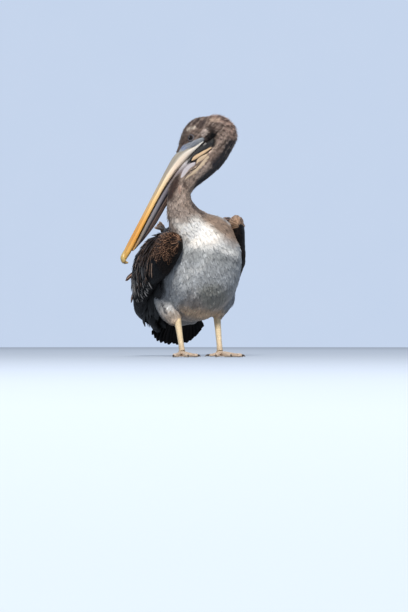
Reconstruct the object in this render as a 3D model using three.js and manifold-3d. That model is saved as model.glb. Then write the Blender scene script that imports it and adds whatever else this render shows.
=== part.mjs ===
// An immature brown pelican, life size, standing on flat ground with its neck in an S, its head
// turned over its right shoulder and its right wing hanging a little open.
//
// Millimetres, +Z up. The trunk faces -Y and +X is the bird's left. The flesh (trunk, neck, head
// and thighs) is modelled whole and parted with thin cuts, so its pieces follow one surface.
import * as THREE from "three";
import { mergeVertices } from "three/addons/utils/BufferGeometryUtils.js";
import Module from "manifold-3d";

const wasm = await Module();
wasm.setup();

// ---------------------------------------------------------------------------------------------
// Driving dimensions
// ---------------------------------------------------------------------------------------------
const GAP = 0.3; // between the two sides of a thin cut
const CLEARANCE = 0.6; // kept round a body that its neighbour wraps
const LOOSE = 0.9; // the same where feathers lie over the flesh
const BILL_LENGTH = 298; // forehead to the tip of the nail
const TRUNK_HALF_WIDTH = 95;
const NECK_RADIUS = 27;
const EYE_RADIUS = 7;
const TARSUS_RADIUS = 7.4;
const WEB_THICKNESS = 2.4;
const FOOT_LENGTH = 98; // ankle to the root of the middle claw
const CLAW_LENGTH = 11;
const FEATHER_THICKNESS = 3;
const SLIVER = 0.2; // slivers thinner than this are closed up
const BIG = 2000; // reaches past the whole bird

// The head's place and bearing: the base of the culmen, the way the bill points and the crown's way.
const HEAD_AT = new THREE.Vector3(-80, -100, 494);
const BILL_WAY = new THREE.Vector3(-0.455, 0.0, -0.89).normalize();
const CROWN_WAY = new THREE.Vector3(-0.895, -0.02, 0.439);

// ---------------------------------------------------------------------------------------------
// Materials
// ---------------------------------------------------------------------------------------------
const finish = (color, roughness) => new THREE.MeshStandardMaterial({ color, roughness, metalness: 0 });
const BROWN_PLUMAGE = finish(0x6f5d51, 0.9);
const PALE_PLUMAGE = finish(0xc9c8c6, 0.85);
const WING_PLUMAGE = finish(0x3a2e29, 0.8);
const FLIGHT_FEATHER = finish(0x1d1a1b, 0.6);
const BILL_HORN = finish(0xd8b46a, 0.45);
const NAIL_HORN = finish(0xe0c070, 0.35);
const POUCH_SKIN = finish(0x9a8c88, 0.6);
const LEG_SKIN = finish(0xd3b98c, 0.55);
const WEB_SKIN = finish(0xa38b7a, 0.6);
const CLAW_HORN = finish(0x4a4038, 0.4);
const EYE_GLOSS = finish(0x20161a, 0.08);

// ---------------------------------------------------------------------------------------------
// Shape helpers
// ---------------------------------------------------------------------------------------------
const vec = (p) => new THREE.Vector3(...p);
const between = (a, b, t) => a + (b - a) * t;
const pointBetween = (a, b, t) => a.map((v, i) => between(v, b[i], t));

/** The value of a smooth curve through evenly spaced numbers, at t from 0 to 1. */
function smooth(values, t) {
  const place = Math.min(Math.max(t, 0), 1) * (values.length - 1);
  const i = Math.min(Math.floor(place), values.length - 2);
  const f = place - i;
  const a = values[Math.max(i - 1, 0)];
  const b = values[i];
  const c = values[i + 1];
  const d = values[Math.min(i + 2, values.length - 1)];
  const slopeB = (c - a) / 2;
  const slopeC = (d - b) / 2;
  const f2 = f * f;
  const f3 = f2 * f;
  return (2 * f3 - 3 * f2 + 1) * b + (f3 - 2 * f2 + f) * slopeB + (3 * f2 - 2 * f3) * c + (f3 - f2) * slopeC;
}

/** A closed geometry as a solid, its shared vertices merged. */
function solid(geometry) {
  const bare = geometry.clone();
  bare.deleteAttribute("normal");
  bare.deleteAttribute("uv");
  const merged = mergeVertices(bare, 1e-4);
  return new wasm.Manifold(
    new wasm.Mesh({
      numProp: 3,
      vertProperties: new Float32Array(merged.getAttribute("position").array),
      triVerts: new Uint32Array(merged.index.array),
    }),
  );
}

/** The geometry with its faces turned round. */
function flipped(geometry) {
  const turned = geometry.clone();
  const index = turned.index.array;
  for (let i = 0; i < index.length; i += 3) {
    [index[i + 1], index[i + 2]] = [index[i + 2], index[i + 1]];
  }
  return turned;
}

/**
 * A body swept along stations. Each station is { at, wide, up, down, roll }: the section's centre,
 * its half width, its half heights above and below and its turn about the path in degrees. The
 * section stays upright with respect to `top`, and the whole body is `grow` larger all round.
 */
function sweep(stations, { rings = 14, sides = 20, top = [0, 0, 1], grow = 0 } = {}) {
  const path = new THREE.CatmullRomCurve3(stations.map((s) => vec(s.at)), false, "centripetal");
  const column = (key, other) => stations.map((s) => s[key] ?? other(s));
  const wide = column("wide");
  const up = column("up", (s) => s.wide);
  const down = column("down", (s) => s.up ?? s.wide);
  const roll = column("roll", () => 0);
  const geometry = new THREE.CylinderGeometry(1, 1, 1, sides, rings);
  const position = geometry.getAttribute("position");
  const point = new THREE.Vector3();
  for (let i = 0; i < position.count; i += 1) {
    point.fromBufferAttribute(position, i);
    const t = point.y + 0.5;
    const along = path.getTangent(t);
    const side = new THREE.Vector3().crossVectors(vec(top), along).normalize();
    const rise = new THREE.Vector3().crossVectors(along, side).normalize();
    const turn = new THREE.Quaternion().setFromAxisAngle(along, THREE.MathUtils.degToRad(smooth(roll, t)));
    side.applyQuaternion(turn);
    rise.applyQuaternion(turn);
    const height = smooth(point.z > 0 ? up : down, t) + grow;
    const centre = path.getPoint(t);
    centre.addScaledVector(side, point.x * (smooth(wide, t) + grow));
    centre.addScaledVector(rise, point.z * height);
    centre.addScaledVector(along, (t < 0.5 ? -grow : grow) * (Math.abs(point.y) === 0.5 ? 1 : 0));
    position.setXYZ(i, centre.x, centre.y, centre.z);
  }
  const made = solid(geometry);
  return made.volume() < 0 ? solid(flipped(geometry)) : made;
}

/** A solid ball. */
function ball(at, radius, detail = 16) {
  const geometry = new THREE.SphereGeometry(radius, detail, Math.round(detail * 0.6));
  geometry.translate(...at);
  return solid(geometry);
}

/** A flat feather from root to tip whose broad side faces `face`. */
function feather({ root, tip, width, face, bow = 0, grow = 0 }) {
  const middle = vec(pointBetween(root, tip, 0.5)).addScaledVector(vec(face).normalize(), bow).toArray();
  const half = FEATHER_THICKNESS / 2;
  const stations = [
    { at: root, wide: 0.3 * width, up: half },
    { at: middle, wide: 0.5 * width, up: half },
    { at: pointBetween(middle, tip, 0.6), wide: 0.46 * width, up: half },
    { at: tip, wide: 0.16 * width, up: 0.5 * half },
  ];
  return sweep(stations, { rings: 3, sides: 6, top: face, grow });
}

/** Feathers side by side, their roots and tips running along two lines. */
function featherRow({ count, roots, tips, width, face, bow, grow }) {
  const row = [];
  for (let i = 0; i < count; i += 1) {
    const t = count > 1 ? i / (count - 1) : 0;
    const root = pointBetween(roots[0], roots.at(-1), t);
    const tip = pointBetween(tips[0], tips.at(-1), t);
    row.push(feather({ root, tip, width, face, bow, grow }));
  }
  return joined(row);
}

const joined = (bodies) => bodies.reduce((whole, body) => whole.add(body));
const without = (body, others) => others.reduce((rest, other) => rest.subtract(other), body);

/** Everything on the side of a plane that its normal points to, half a gap short of the plane. */
function beyond(at, normal) {
  const geometry = new THREE.BoxGeometry(BIG, BIG, BIG);
  geometry.translate(0, 0, BIG / 2 + GAP / 2);
  const turn = new THREE.Quaternion().setFromUnitVectors(new THREE.Vector3(0, 0, 1), vec(normal).normalize());
  geometry.applyQuaternion(turn);
  geometry.translate(...at);
  return solid(geometry);
}

/** The part of a body between planes, each given as [point, way in]. */
const within = (body, ...planes) =>
  planes.reduce((rest, [at, normal]) => rest.intersect(beyond(at, normal)), body);

const opposite = (way) => way.map((v) => -v);

/** What has to stay clear of a body: the body with room all round it. */
const padded = (make, room = CLEARANCE) => make(room).add(make(0));

/** The largest of a body's separate lumps. */
const largest = (body) => body.decompose().sort((a, b) => b.volume() - a.volume())[0];

/** The head's own axes, facing -Y with its crown up +Z, as a matrix into the bird's frame. */
function headMatrix() {
  const left = new THREE.Vector3().crossVectors(CROWN_WAY, BILL_WAY).normalize();
  const crown = new THREE.Vector3().crossVectors(BILL_WAY, left).normalize();
  return new THREE.Matrix4().makeBasis(left, BILL_WAY.clone().negate(), crown).setPosition(HEAD_AT);
}
const onHead = (body) => body.transform(headMatrix().toArray());

// ---------------------------------------------------------------------------------------------
// Flesh: trunk, neck, head and thighs
// ---------------------------------------------------------------------------------------------
/** The trunk from the root of the tail to the breast, with the mantle raised along its back. */
function trunk(grow = 0) {
  const w = TRUNK_HALF_WIDTH;
  const belly = [
    { at: [-8, 190, 118], wide: 20, up: 12, down: 12 },
    { at: [-6, 150, 130], wide: 54, up: 38, down: 44 },
    { at: [-3, 100, 152], wide: 0.87 * w, up: 62, down: 72 },
    { at: [4, 42, 184], wide: w, up: 76, down: 94 },
    { at: [1, -20, 226], wide: 1.03 * w, up: 78, down: 98 },
    { at: [-2, -66, 266], wide: 0.94 * w, up: 62, down: 76 },
    { at: [-14, -84, 304], wide: 0.72 * w, up: 42, down: 52 },
    { at: [-28, -92, 330], wide: 0.36 * w, up: 22, down: 28 },
  ];
  const mantle = [
    { at: [-6, -56, 296], wide: 40, up: 20, down: 20 },
    { at: [-4, -16, 272], wide: 66, up: 48, down: 40 },
    { at: [-2, 56, 228], wide: 66, up: 52, down: 40 },
    { at: [-3, 116, 184], wide: 50, up: 40, down: 30 },
    { at: [-5, 168, 142], wide: 24, up: 18, down: 14 },
    { at: [-5, 190, 126], wide: 12, up: 6, down: 6 },
  ];
  const body = sweep(belly, { rings: 13, sides: 18, top: [0, 0.8, 0.6], grow });
  return body.add(sweep(mantle, { rings: 8, sides: 10, grow }));
}

/** The neck, an S from the breast over to the right and back to the nape. */
function neck(grow = 0) {
  const r = NECK_RADIUS;
  const stations = [
    { at: [-8, -62, 268], wide: 2.7 * r, up: 2.2 * r, down: 1.8 * r },
    { at: [-31, -84, 300], wide: 2.15 * r, up: 1.75 * r, down: 1.6 * r },
    { at: [-58, -106, 328], wide: 1.65 * r, up: 1.4 * r, down: 1.35 * r },
    { at: [-75, -123, 362], wide: 1.24 * r, up: 1.15 * r, down: 1.15 * r },
    { at: [-76, -127, 392], wide: 1.08 * r, up: 1.05 * r, down: 1.05 * r },
    { at: [-56, -120, 420], wide: 1.06 * r, up: 1.02 * r, down: 1.02 * r },
    { at: [-20, -106, 448], wide: 1.08 * r, up: 1.04 * r, down: 1.04 * r },
    { at: [12, -97, 480], wide: 1.18 * r, up: 1.1 * r, down: 1.1 * r },
    { at: [29, -95, 512], wide: 1.28 * r, up: 1.12 * r, down: 1.12 * r },
    { at: [34, -97, 535], wide: 1.34 * r, up: 1.12 * r, down: 1.12 * r },
    { at: [25, -98, 554], wide: 1.02 * r, up: 0.95 * r, down: 0.95 * r },
    { at: [10, -98, 560], wide: 0.4 * r, up: 0.4 * r, down: 0.4 * r },
  ];
  return sweep(stations, { rings: 17, sides: 13, top: [0, 1, 0.05], grow });
}

/** The skull with its plumage, in the head's own axes. */
function skull(grow = 0) {
  const stations = [
    { at: [0, -6, -15], wide: 13, up: 12, down: 10 },
    { at: [0, 14, -19], wide: 18, up: 19.5, down: 17 },
    { at: [0, 34, -23], wide: 24, up: 27.5, down: 24 },
    { at: [0, 52, -27], wide: 28, up: 32.5, down: 28 },
    { at: [0, 70, -35], wide: 30, up: 33.5, down: 30 },
    { at: [0, 88, -49], wide: 30, up: 26, down: 28 },
    { at: [0, 102, -66], wide: 28, up: 23, down: 24 },
    { at: [0, 108, -84], wide: 18, up: 14, down: 14 },
  ];
  return sweep(stations, { rings: 9, sides: 12, grow });
}

const THIGH_RIGHT = [
  { at: [-48, 66, 178], wide: 30, up: 40, down: 36 },
  { at: [-62, 62, 150], wide: 40, up: 50, down: 44 },
  { at: [-62, 50, 122], wide: 36, up: 42, down: 36 },
  { at: [-59, 38, 98], wide: 27, up: 28, down: 24 },
  { at: [-57, 33, 82], wide: 14, up: 15, down: 14 },
];
const THIGH_LEFT = [
  { at: [52, 58, 180], wide: 34, up: 40, down: 36 },
  { at: [61, 50, 152], wide: 38, up: 46, down: 42 },
  { at: [57, 42, 124], wide: 28, up: 34, down: 32 },
  { at: [52, 33, 104], wide: 16, up: 20, down: 17 },
  { at: [50, 30, 90], wide: 10, up: 11, down: 11 },
];
const thigh = (stations, grow = 0) => sweep(stations, { rings: 6, sides: 10, top: [0, 1, 0], grow });

// Where the neck is parted, each cut as its point on the neck and the way up the neck.
const NECK_CUTS = [
  { at: [-58, -106, 328], way: [-0.6, -0.4, 0.7] },
  { at: [-74, -126, 390], way: [0.15, 0.05, 1] },
  { at: [-10, -103, 456], way: [0.72, 0.2, 0.66] },
  { at: [24, -95, 500], way: [0.35, 0.05, 0.94] },
];

// ---------------------------------------------------------------------------------------------
// Wings and tail
// ---------------------------------------------------------------------------------------------
const WING_RIGHT = [
  { at: [-77, -137, 273], wide: 3, up: 4, down: 4 },
  { at: [-80, -128, 271], wide: 14, up: 21, down: 21 },
  { at: [-88, -104, 265], wide: 22, up: 36, down: 34 },
  { at: [-102, -46, 247], wide: 26, up: 51, down: 54, roll: 2 },
  { at: [-115, 30, 231], wide: 29, up: 55, down: 62, roll: 2 },
  { at: [-122, 100, 204], wide: 28, up: 54, down: 62, roll: 2 },
  { at: [-117, 160, 168], wide: 23, up: 49, down: 54, roll: 4 },
  { at: [-103, 212, 128], wide: 15, up: 34, down: 36, roll: 6 },
  { at: [-85, 256, 94], wide: 7, up: 14, down: 15, roll: 8 },
];
const WING_LEFT = [
  { at: [70, -120, 313], wide: 2, up: 4, down: 4 },
  { at: [69, -112, 312], wide: 11, up: 23, down: 20, roll: -2 },
  { at: [72, -90, 305], wide: 19, up: 38, down: 34, roll: -4 },
  { at: [83, -40, 281], wide: 18, up: 50, down: 52, roll: -10 },
  { at: [84, 30, 244], wide: 17, up: 57, down: 56, roll: -16 },
  { at: [80, 100, 204], wide: 16, up: 56, down: 52, roll: -22 },
  { at: [66, 165, 162], wide: 12, up: 46, down: 42, roll: -26 },
  { at: [48, 225, 122], wide: 8, up: 30, down: 28, roll: -30 },
  { at: [34, 276, 90], wide: 4, up: 12, down: 12, roll: -32 },
];
// Rows of flight feathers that reach past the closed wing, with a few that stand out of line.
const FLIGHT_RIGHT = [
  {
    count: 5,
    roots: [[-116, 0, 205], [-118, 150, 150]],
    tips: [[-104, 78, 138], [-97, 232, 80]],
    width: 28,
    face: [-1, 0.1, 0.1],
  },
  {
    count: 3,
    roots: [[-106, 170, 138], [-104, 190, 160]],
    tips: [[-83, 274, 72], [-76, 290, 98]],
    width: 24,
    face: [-1, 0.2, 0.2],
  },
  {
    count: 3,
    roots: [[-104, 110, 150], [-98, 170, 140]],
    tips: [[-92, 170, 96], [-80, 236, 92]],
    width: 26,
    face: [-0.8, -0.5, -0.2],
  },
  { count: 1, roots: [[-126, 92, 224]], tips: [[-158, 138, 191]], width: 15, face: [-0.7, 0.1, 0.7] },
  { count: 1, roots: [[-130, 120, 188]], tips: [[-140, 170, 134]], width: 16, face: [-1, 0.1, 0.3] },
];
const FLIGHT_LEFT = [
  {
    count: 5,
    roots: [[100, 0, 226], [84, 150, 142]],
    tips: [[103, 74, 158], [50, 232, 92]],
    width: 28,
    face: [1, 0.1, 0.1],
  },
  {
    count: 3,
    roots: [[58, 180, 132], [54, 196, 152]],
    tips: [[30, 290, 72], [24, 304, 96]],
    width: 24,
    face: [0.9, 0.2, 0.3],
  },
];

/** A closed wing with its rows of flight feathers. */
function wing(stations, flight, grow = 0) {
  const body = sweep(stations, { rings: 9, sides: 10, grow });
  const rows = flight.map((row) => featherRow({ ...row, grow }));
  return joined([body, ...rows]);
}

// Scapulars: the long shoulder feathers that bridge the back and the folded wing.
const SCAPULARS_RIGHT = [
  { at: [-50, -72, 306], wide: 8, up: 5, down: 8 },
  { at: [-64, -30, 300], wide: 26, up: 16, down: 26, roll: 26 },
  { at: [-75, 36, 272], wide: 30, up: 20, down: 30, roll: 32 },
  { at: [-73, 100, 234], wide: 28, up: 17, down: 28, roll: 34 },
  { at: [-62, 160, 184], wide: 18, up: 10, down: 16, roll: 34 },
  { at: [-54, 206, 146], wide: 6, up: 4, down: 6, roll: 34 },
];
const SCAPULARS_LEFT = [
  { at: [40, -70, 326], wide: 8, up: 5, down: 8 },
  { at: [54, -30, 322], wide: 26, up: 18, down: 26, roll: -26 },
  { at: [60, 36, 288], wide: 30, up: 20, down: 30, roll: -32 },
  { at: [56, 100, 243], wide: 28, up: 17, down: 28, roll: -34 },
  { at: [45, 160, 190], wide: 18, up: 10, down: 16, roll: -34 },
  { at: [36, 208, 150], wide: 6, up: 4, down: 6, roll: -34 },
];
// A tuft of the right scapulars, ruffled up behind the neck.
const TUFT_RIGHT = {
  count: 4,
  roots: [[-66, -10, 302], [-76, 50, 284]],
  tips: [[-116, 12, 316], [-92, 50, 334]],
};

/** The scapulars of one side, with any ruffled tuft. */
function scapulars(stations, tufts, grow = 0) {
  const body = sweep(stations, { rings: 6, sides: 8, grow });
  const rows = tufts.map((row) => featherRow({ ...row, width: 20, face: [-0.6, -0.3, 0.7], grow }));
  return joined([body, ...rows]);
}

const TAIL_ROOT = [-8, 172, 124];
const TAIL_TIPS = [
  [-74, 254, 56],
  [-55, 270, 37],
  [-31, 278, 31],
  [-6, 280, 29],
  [18, 278, 32],
  [41, 270, 48],
  [60, 258, 74],
];

/** The fan of tail feathers. */
function tailFan() {
  const fan = TAIL_TIPS.map((tip, i) => {
    const lift = 3 - Math.abs(i - (TAIL_TIPS.length - 1) / 2);
    const root = [TAIL_ROOT[0] + (tip[0] - TAIL_ROOT[0]) * 0.12, TAIL_ROOT[1], TAIL_ROOT[2] + lift];
    return feather({ root, tip, width: 32, face: [0, 0.66, 0.75], bow: 5 });
  });
  return joined(fan);
}

// ---------------------------------------------------------------------------------------------
// Bill and eyes, in the head's own axes
// ---------------------------------------------------------------------------------------------
/** The upper bill back to the gape. */
function billUpper(grow = 0) {
  const stations = [
    { at: [0, 46, -47], wide: 19, up: 5, down: 5 },
    { at: [0, 24, -38], wide: 20.5, up: 8, down: 8 },
    { at: [0, 2, -25], wide: 20, up: 14, down: 15.5 },
    { at: [0, -20, -17], wide: 18, up: 14, down: 17.5 },
    { at: [0, -48, -12.5], wide: 15.5, up: 11, down: 13.5 },
    { at: [0, -100, -9.5], wide: 14, up: 8.3, down: 9.3 },
    { at: [0, -180, -8.2], wide: 14, up: 7.5, down: 8.4 },
    { at: [0, -240, -8], wide: 15, up: 8, down: 8.3 },
    { at: [0, -272, -8], wide: 13, up: 8, down: 7.6 },
    { at: [0, 10 - BILL_LENGTH, -8], wide: 8, up: 7, down: 6 },
  ];
  return sweep(stations, { rings: 10, sides: 10, grow });
}

/** The hooked nail at the tip. */
function nail(grow = 0) {
  const stations = [
    { at: [0, 26 - BILL_LENGTH, -5], wide: 6, up: 6, down: 5 },
    { at: [0, 10 - BILL_LENGTH, -6], wide: 8, up: 7.2, down: 7 },
    { at: [0, 2 - BILL_LENGTH, -12], wide: 6.5, up: 5.5, down: 5.5 },
    { at: [0, 5 - BILL_LENGTH, -21], wide: 2.5, up: 2, down: 2 },
  ];
  return sweep(stations, { rings: 7, sides: 10, grow });
}

/** The lower bill: two slim arms that meet at the tip. */
function billLower(grow = 0) {
  const arm = (side) =>
    sweep(
      [
        { at: [side * 18.5, 46, -58], wide: 3.6, up: 5 },
        { at: [side * 18.5, 12, -48], wide: 3.8, up: 5.5 },
        { at: [side * 17, -36, -34], wide: 3.6, up: 5 },
        { at: [side * 14, -100, -25.5], wide: 3.3, up: 4.5 },
        { at: [side * 12.5, -180, -21.6], wide: 3, up: 3.6 },
        { at: [side * 11, -236, -20], wide: 2.8, up: 2.9 },
        { at: [side * 3, -266, -19], wide: 2.8, up: 2.4 },
      ],
      { rings: 8, sides: 6, grow },
    );
  return arm(1).add(arm(-1)).add(ball([0, -268, -19], 3.6 + grow, 10));
}

/** The gular pouch, hanging folded between the arms and gathered at the throat. */
function pouch(grow = 0) {
  const stations = [
    { at: [0, 76, -72], wide: 14, up: 12, down: 10 },
    { at: [0, 52, -67], wide: 19, up: 14, down: 20 },
    { at: [0, 20, -58], wide: 20, up: 14, down: 26 },
    { at: [0, -30, -43], wide: 17, up: 10, down: 20 },
    { at: [0, -100, -32], wide: 13.5, up: 7, down: 13 },
    { at: [0, -180, -26], wide: 11.5, up: 4, down: 12 },
    { at: [0, -225, -23], wide: 9, up: 2.5, down: 7.5 },
    { at: [0, -256, -20.5], wide: 4, up: 1.2, down: 2.5 },
  ];
  return sweep(stations, { rings: 8, sides: 8, grow });
}

const EYES = [1, -1].map((side) => [side * 19.5, 37.5, -15]);

// ---------------------------------------------------------------------------------------------
// Legs and feet, modelled for the right side about the ankle
// ---------------------------------------------------------------------------------------------
const HOCKS = { right: [-50, 30, 90], left: [50, 30, 94] };
const ANKLES = { right: [-42, 14, 15], left: [53, 14, 15] };

/** The bare leg from the feathered thigh to the ankle. */
function tarsus(side, grow = 0) {
  const r = TARSUS_RADIUS;
  const hock = HOCKS[side];
  const ankle = ANKLES[side];
  const stations = [
    { at: [hock[0], hock[1] + 2, hock[2] + 14], wide: 1.1 * r, up: 1.15 * r },
    { at: hock, wide: 1.22 * r, up: 1.35 * r },
    { at: pointBetween(hock, ankle, 0.3), wide: 1.08 * r, up: 1.2 * r },
    { at: pointBetween(hock, ankle, 0.75), wide: 0.95 * r, up: 1.2 * r },
    { at: ankle, wide: 1.05 * r, up: 1.2 * r },
  ];
  return sweep(stations, { rings: 8, sides: 10, top: [0, 1, 0], grow });
}

// Toes as their bearing from straight ahead (degrees, inwards positive) and share of FOOT_LENGTH.
const TOES = [
  { bearing: -24, reach: 0.93, radius: 5.2 },
  { bearing: -3, reach: 1.0, radius: 5.4 },
  { bearing: 20, reach: 0.76, radius: 4.8 },
  { bearing: 78, reach: 0.3, radius: 4 },
];

/** The tip of a toe of a foot on one side (right -1, left 1), seen from its ankle. */
function toeTip(toe, side, reach = toe.reach) {
  const angle = THREE.MathUtils.degToRad(toe.bearing);
  return [-side * Math.sin(angle) * reach * FOOT_LENGTH, -Math.cos(angle) * reach * FOOT_LENGTH];
}

/** One webbed foot, flat on the ground. */
function foot(side, ankle) {
  const place = (toe, reach) => {
    const [x, y] = toeTip(toe, side, reach);
    return [ankle[0] + x, ankle[1] + y];
  };
  const toes = TOES.map((toe) => {
    const r = toe.radius;
    const stations = [
      { at: [ankle[0], ankle[1] + 3, 9], wide: 1.5 * r, up: r },
      { at: [...place(toe, 0.25 * toe.reach), 8], wide: 1.15 * r, up: 1.1 * r },
      { at: [...place(toe, 0.6 * toe.reach), 4.4], wide: r, up: r },
      { at: [...place(toe, 0.9 * toe.reach), 3.4], wide: 0.95 * r, up: r },
      { at: [...place(toe, toe.reach), 3], wide: 0.7 * r, up: 0.7 * r },
    ];
    return sweep(stations, { rings: 3, sides: 6 });
  });
  const outline = new THREE.Shape();
  outline.moveTo(ankle[0] + side * 8, ankle[1] + 4);
  TOES.forEach((toe, i) => {
    const tip = place(toe, toe.reach - 0.02);
    if (i === 0) {
      outline.lineTo(...tip);
      return;
    }
    const before = TOES[i - 1];
    const bearing = (toe.bearing + before.bearing) / 2;
    const reach = (toe.reach + before.reach) * (i === TOES.length - 1 ? 0.3 : 0.42);
    outline.quadraticCurveTo(...place({ bearing }, reach), ...tip);
  });
  outline.lineTo(ankle[0] - side * 6, ankle[1] + 10);
  outline.closePath();
  const sheet = { depth: WEB_THICKNESS, bevelEnabled: false, curveSegments: 3 };
  const web = solid(new THREE.ExtrudeGeometry(outline, sheet));
  const raised = joined([...toes, ball([ankle[0], ankle[1] + 2, 10], 9.5, 8)]);
  const sole = solid(new THREE.BoxGeometry(BIG, BIG, BIG).translate(0, 0, BIG / 2));
  return web.add(raised.intersect(sole));
}

/** A claw at the end of a toe, curving down to the ground. */
function claw(toe, side, ankle, grow = 0) {
  const reach = (extra) => {
    const [x, y] = toeTip(toe, side, toe.reach + extra / FOOT_LENGTH);
    return [ankle[0] + x, ankle[1] + y];
  };
  const stations = [
    { at: [...reach(-3), 4.2], wide: 2.4, up: 2.6 },
    { at: [...reach(0.45 * CLAW_LENGTH), 4.4], wide: 2, up: 2.2 },
    { at: [...reach(CLAW_LENGTH), 1.4], wide: 0.7, up: 0.7 },
  ];
  return sweep(stations, { rings: 4, sides: 6, grow });
}

// ---------------------------------------------------------------------------------------------
// Assembly
// ---------------------------------------------------------------------------------------------
const root = new THREE.Group();
root.name = "brown_pelican";

/** Adds a solid to the bird as a named mesh. */
function place(name, body, material) {
  const mesh = largest(largest(body).simplify(SLIVER)).getMesh();
  const geometry = new THREE.BufferGeometry();
  geometry.setAttribute("position", new THREE.BufferAttribute(mesh.vertProperties, 3));
  geometry.setIndex(new THREE.BufferAttribute(mesh.triVerts, 1));
  const node = new THREE.Mesh(geometry, material);
  node.name = name;
  root.add(node);
}

const [baseCut, middleCut, upperCut, headCut] = NECK_CUTS;
const sockets = EYES.map((at) => onHead(ball(at, EYE_RADIUS + GAP, 10)));
const upperJaw = (grow) => onHead(billUpper(grow).add(nail(grow)));
const lowerJaw = (grow) => onHead(billLower(grow));
const skullSolid = (grow) => onHead(skull(grow));

place("trunk", trunk().add(within(neck(), [baseCut.at, opposite(baseCut.way)])), PALE_PLUMAGE);
const neckAbove = within(neck(), [baseCut.at, baseCut.way]).subtract(padded(trunk));
place("neck_lower", within(neckAbove, [middleCut.at, opposite(middleCut.way)]), BROWN_PLUMAGE);
const neckBend = within(neckAbove, [middleCut.at, middleCut.way], [upperCut.at, opposite(upperCut.way)]);
place("neck_middle", neckBend, BROWN_PLUMAGE);
const neckTop = within(neckAbove, [upperCut.at, upperCut.way], [headCut.at, opposite(headCut.way)]);
place("neck_upper", neckTop.subtract(padded(skullSolid)), BROWN_PLUMAGE);
const headWhole = skullSolid(0).add(within(neck(), [headCut.at, headCut.way]));
const jaws = [padded(upperJaw), padded(lowerJaw)];
place("head", without(headWhole, [...jaws, ...sockets]), BROWN_PLUMAGE);
place("eye_left", onHead(ball(EYES[0], EYE_RADIUS, 10)), EYE_GLOSS);
place("eye_right", onHead(ball(EYES[1], EYE_RADIUS, 10)), EYE_GLOSS);

place("bill_upper", onHead(billUpper().subtract(padded(nail))), BILL_HORN);
place("bill_nail", onHead(nail()), NAIL_HORN);
const fleshNear = [padded(neck), padded(skullSolid)];
place("bill_lower", without(lowerJaw(0), [padded(upperJaw), ...fleshNear]), POUCH_SKIN);
place("pouch", without(onHead(pouch()), [...jaws, ...fleshNear]), POUCH_SKIN);

const trunkAndNeck = [padded(trunk, LOOSE), padded(neck, LOOSE)];
const thighNear = {
  right: padded((grow) => thigh(THIGH_RIGHT, grow), LOOSE),
  left: padded((grow) => thigh(THIGH_LEFT, grow), LOOSE),
};
const wingNear = {
  right: padded((grow) => wing(WING_RIGHT, FLIGHT_RIGHT, grow), LOOSE),
  left: padded((grow) => wing(WING_LEFT, FLIGHT_LEFT, grow), LOOSE),
};

/** Adds a wing in three lengths, from the wrist back. */
function placeWing(side, whole, wristCut, primariesCut) {
  place(`wing_${side}_wrist`, within(whole, [wristCut.at, opposite(wristCut.way)]), WING_PLUMAGE);
  const behind = within(whole, [wristCut.at, wristCut.way]);
  place(`wing_${side}_coverts`, within(behind, [primariesCut.at, opposite(primariesCut.way)]), WING_PLUMAGE);
  place(`wing_${side}_primaries`, within(behind, [primariesCut.at, primariesCut.way]), FLIGHT_FEATHER);
}
placeWing(
  "right",
  without(wing(WING_RIGHT, FLIGHT_RIGHT), [...trunkAndNeck, thighNear.right]),
  { at: [-106, -30, 248], way: [0, 1, -0.25] },
  { at: [-112, 150, 176], way: [0, 1, -0.55] },
);
placeWing(
  "left",
  without(wing(WING_LEFT, FLIGHT_LEFT), [...trunkAndNeck, thighNear.left]),
  { at: [86, -30, 276], way: [0, 1, -0.3] },
  { at: [70, 150, 172], way: [0, 1, -0.6] },
);
place(
  "scapulars_right",
  without(scapulars(SCAPULARS_RIGHT, [TUFT_RIGHT]), [...trunkAndNeck, wingNear.right]),
  WING_PLUMAGE,
);
place(
  "scapulars_left",
  without(scapulars(SCAPULARS_LEFT, []), [...trunkAndNeck, wingNear.left]),
  WING_PLUMAGE,
);
place("tail", without(tailFan(), [padded(trunk), wingNear.right, wingNear.left]), FLIGHT_FEATHER);

for (const [name, side] of [["right", -1], ["left", 1]]) {
  const stations = name === "right" ? THIGH_RIGHT : THIGH_LEFT;
  const ankle = ANKLES[name];
  place(`thigh_${name}`, thigh(stations).subtract(padded(trunk)), PALE_PLUMAGE);
  const knuckle = ball([ankle[0], ankle[1] + 2, 10], 9.5 + GAP, 8);
  place(`leg_${name}`, without(tarsus(name), [thighNear[name], padded(trunk), knuckle]), LEG_SKIN);
  const clawsNear = TOES.map((toe) => padded((grow) => claw(toe, side, ankle, grow), LOOSE));
  place(`foot_${name}`, without(foot(side, ankle), clawsNear), WEB_SKIN);
  TOES.forEach((toe, i) => place(`claw_${name}_${i + 1}`, claw(toe, side, ankle), CLAW_HORN));
}

// The bird stands with the middle of its box over the origin.
const box = new THREE.Box3().setFromObject(root);
const middle = box.getCenter(new THREE.Vector3());
root.children.forEach((node) => node.geometry.translate(-middle.x, -middle.y, -box.min.z));

export default root;
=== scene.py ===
"""An immature brown pelican, life size, standing on flat ground.

Its neck is drawn into an S, its head is turned over its right shoulder and its right wing hangs a
little open. Every size is in millimetres in the bird's own frame, whose origin is on the ground
between the feet, with the trunk facing -Y and +X the bird's left, and is turned into metres in the
model's frame as it is used.
"""

import logging
import math
from dataclasses import dataclass, field
from enum import Enum
from typing import Callable, Sequence

import bpy
import numpy as np
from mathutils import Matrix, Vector
from mathutils.bvhtree import BVHTree


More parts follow.
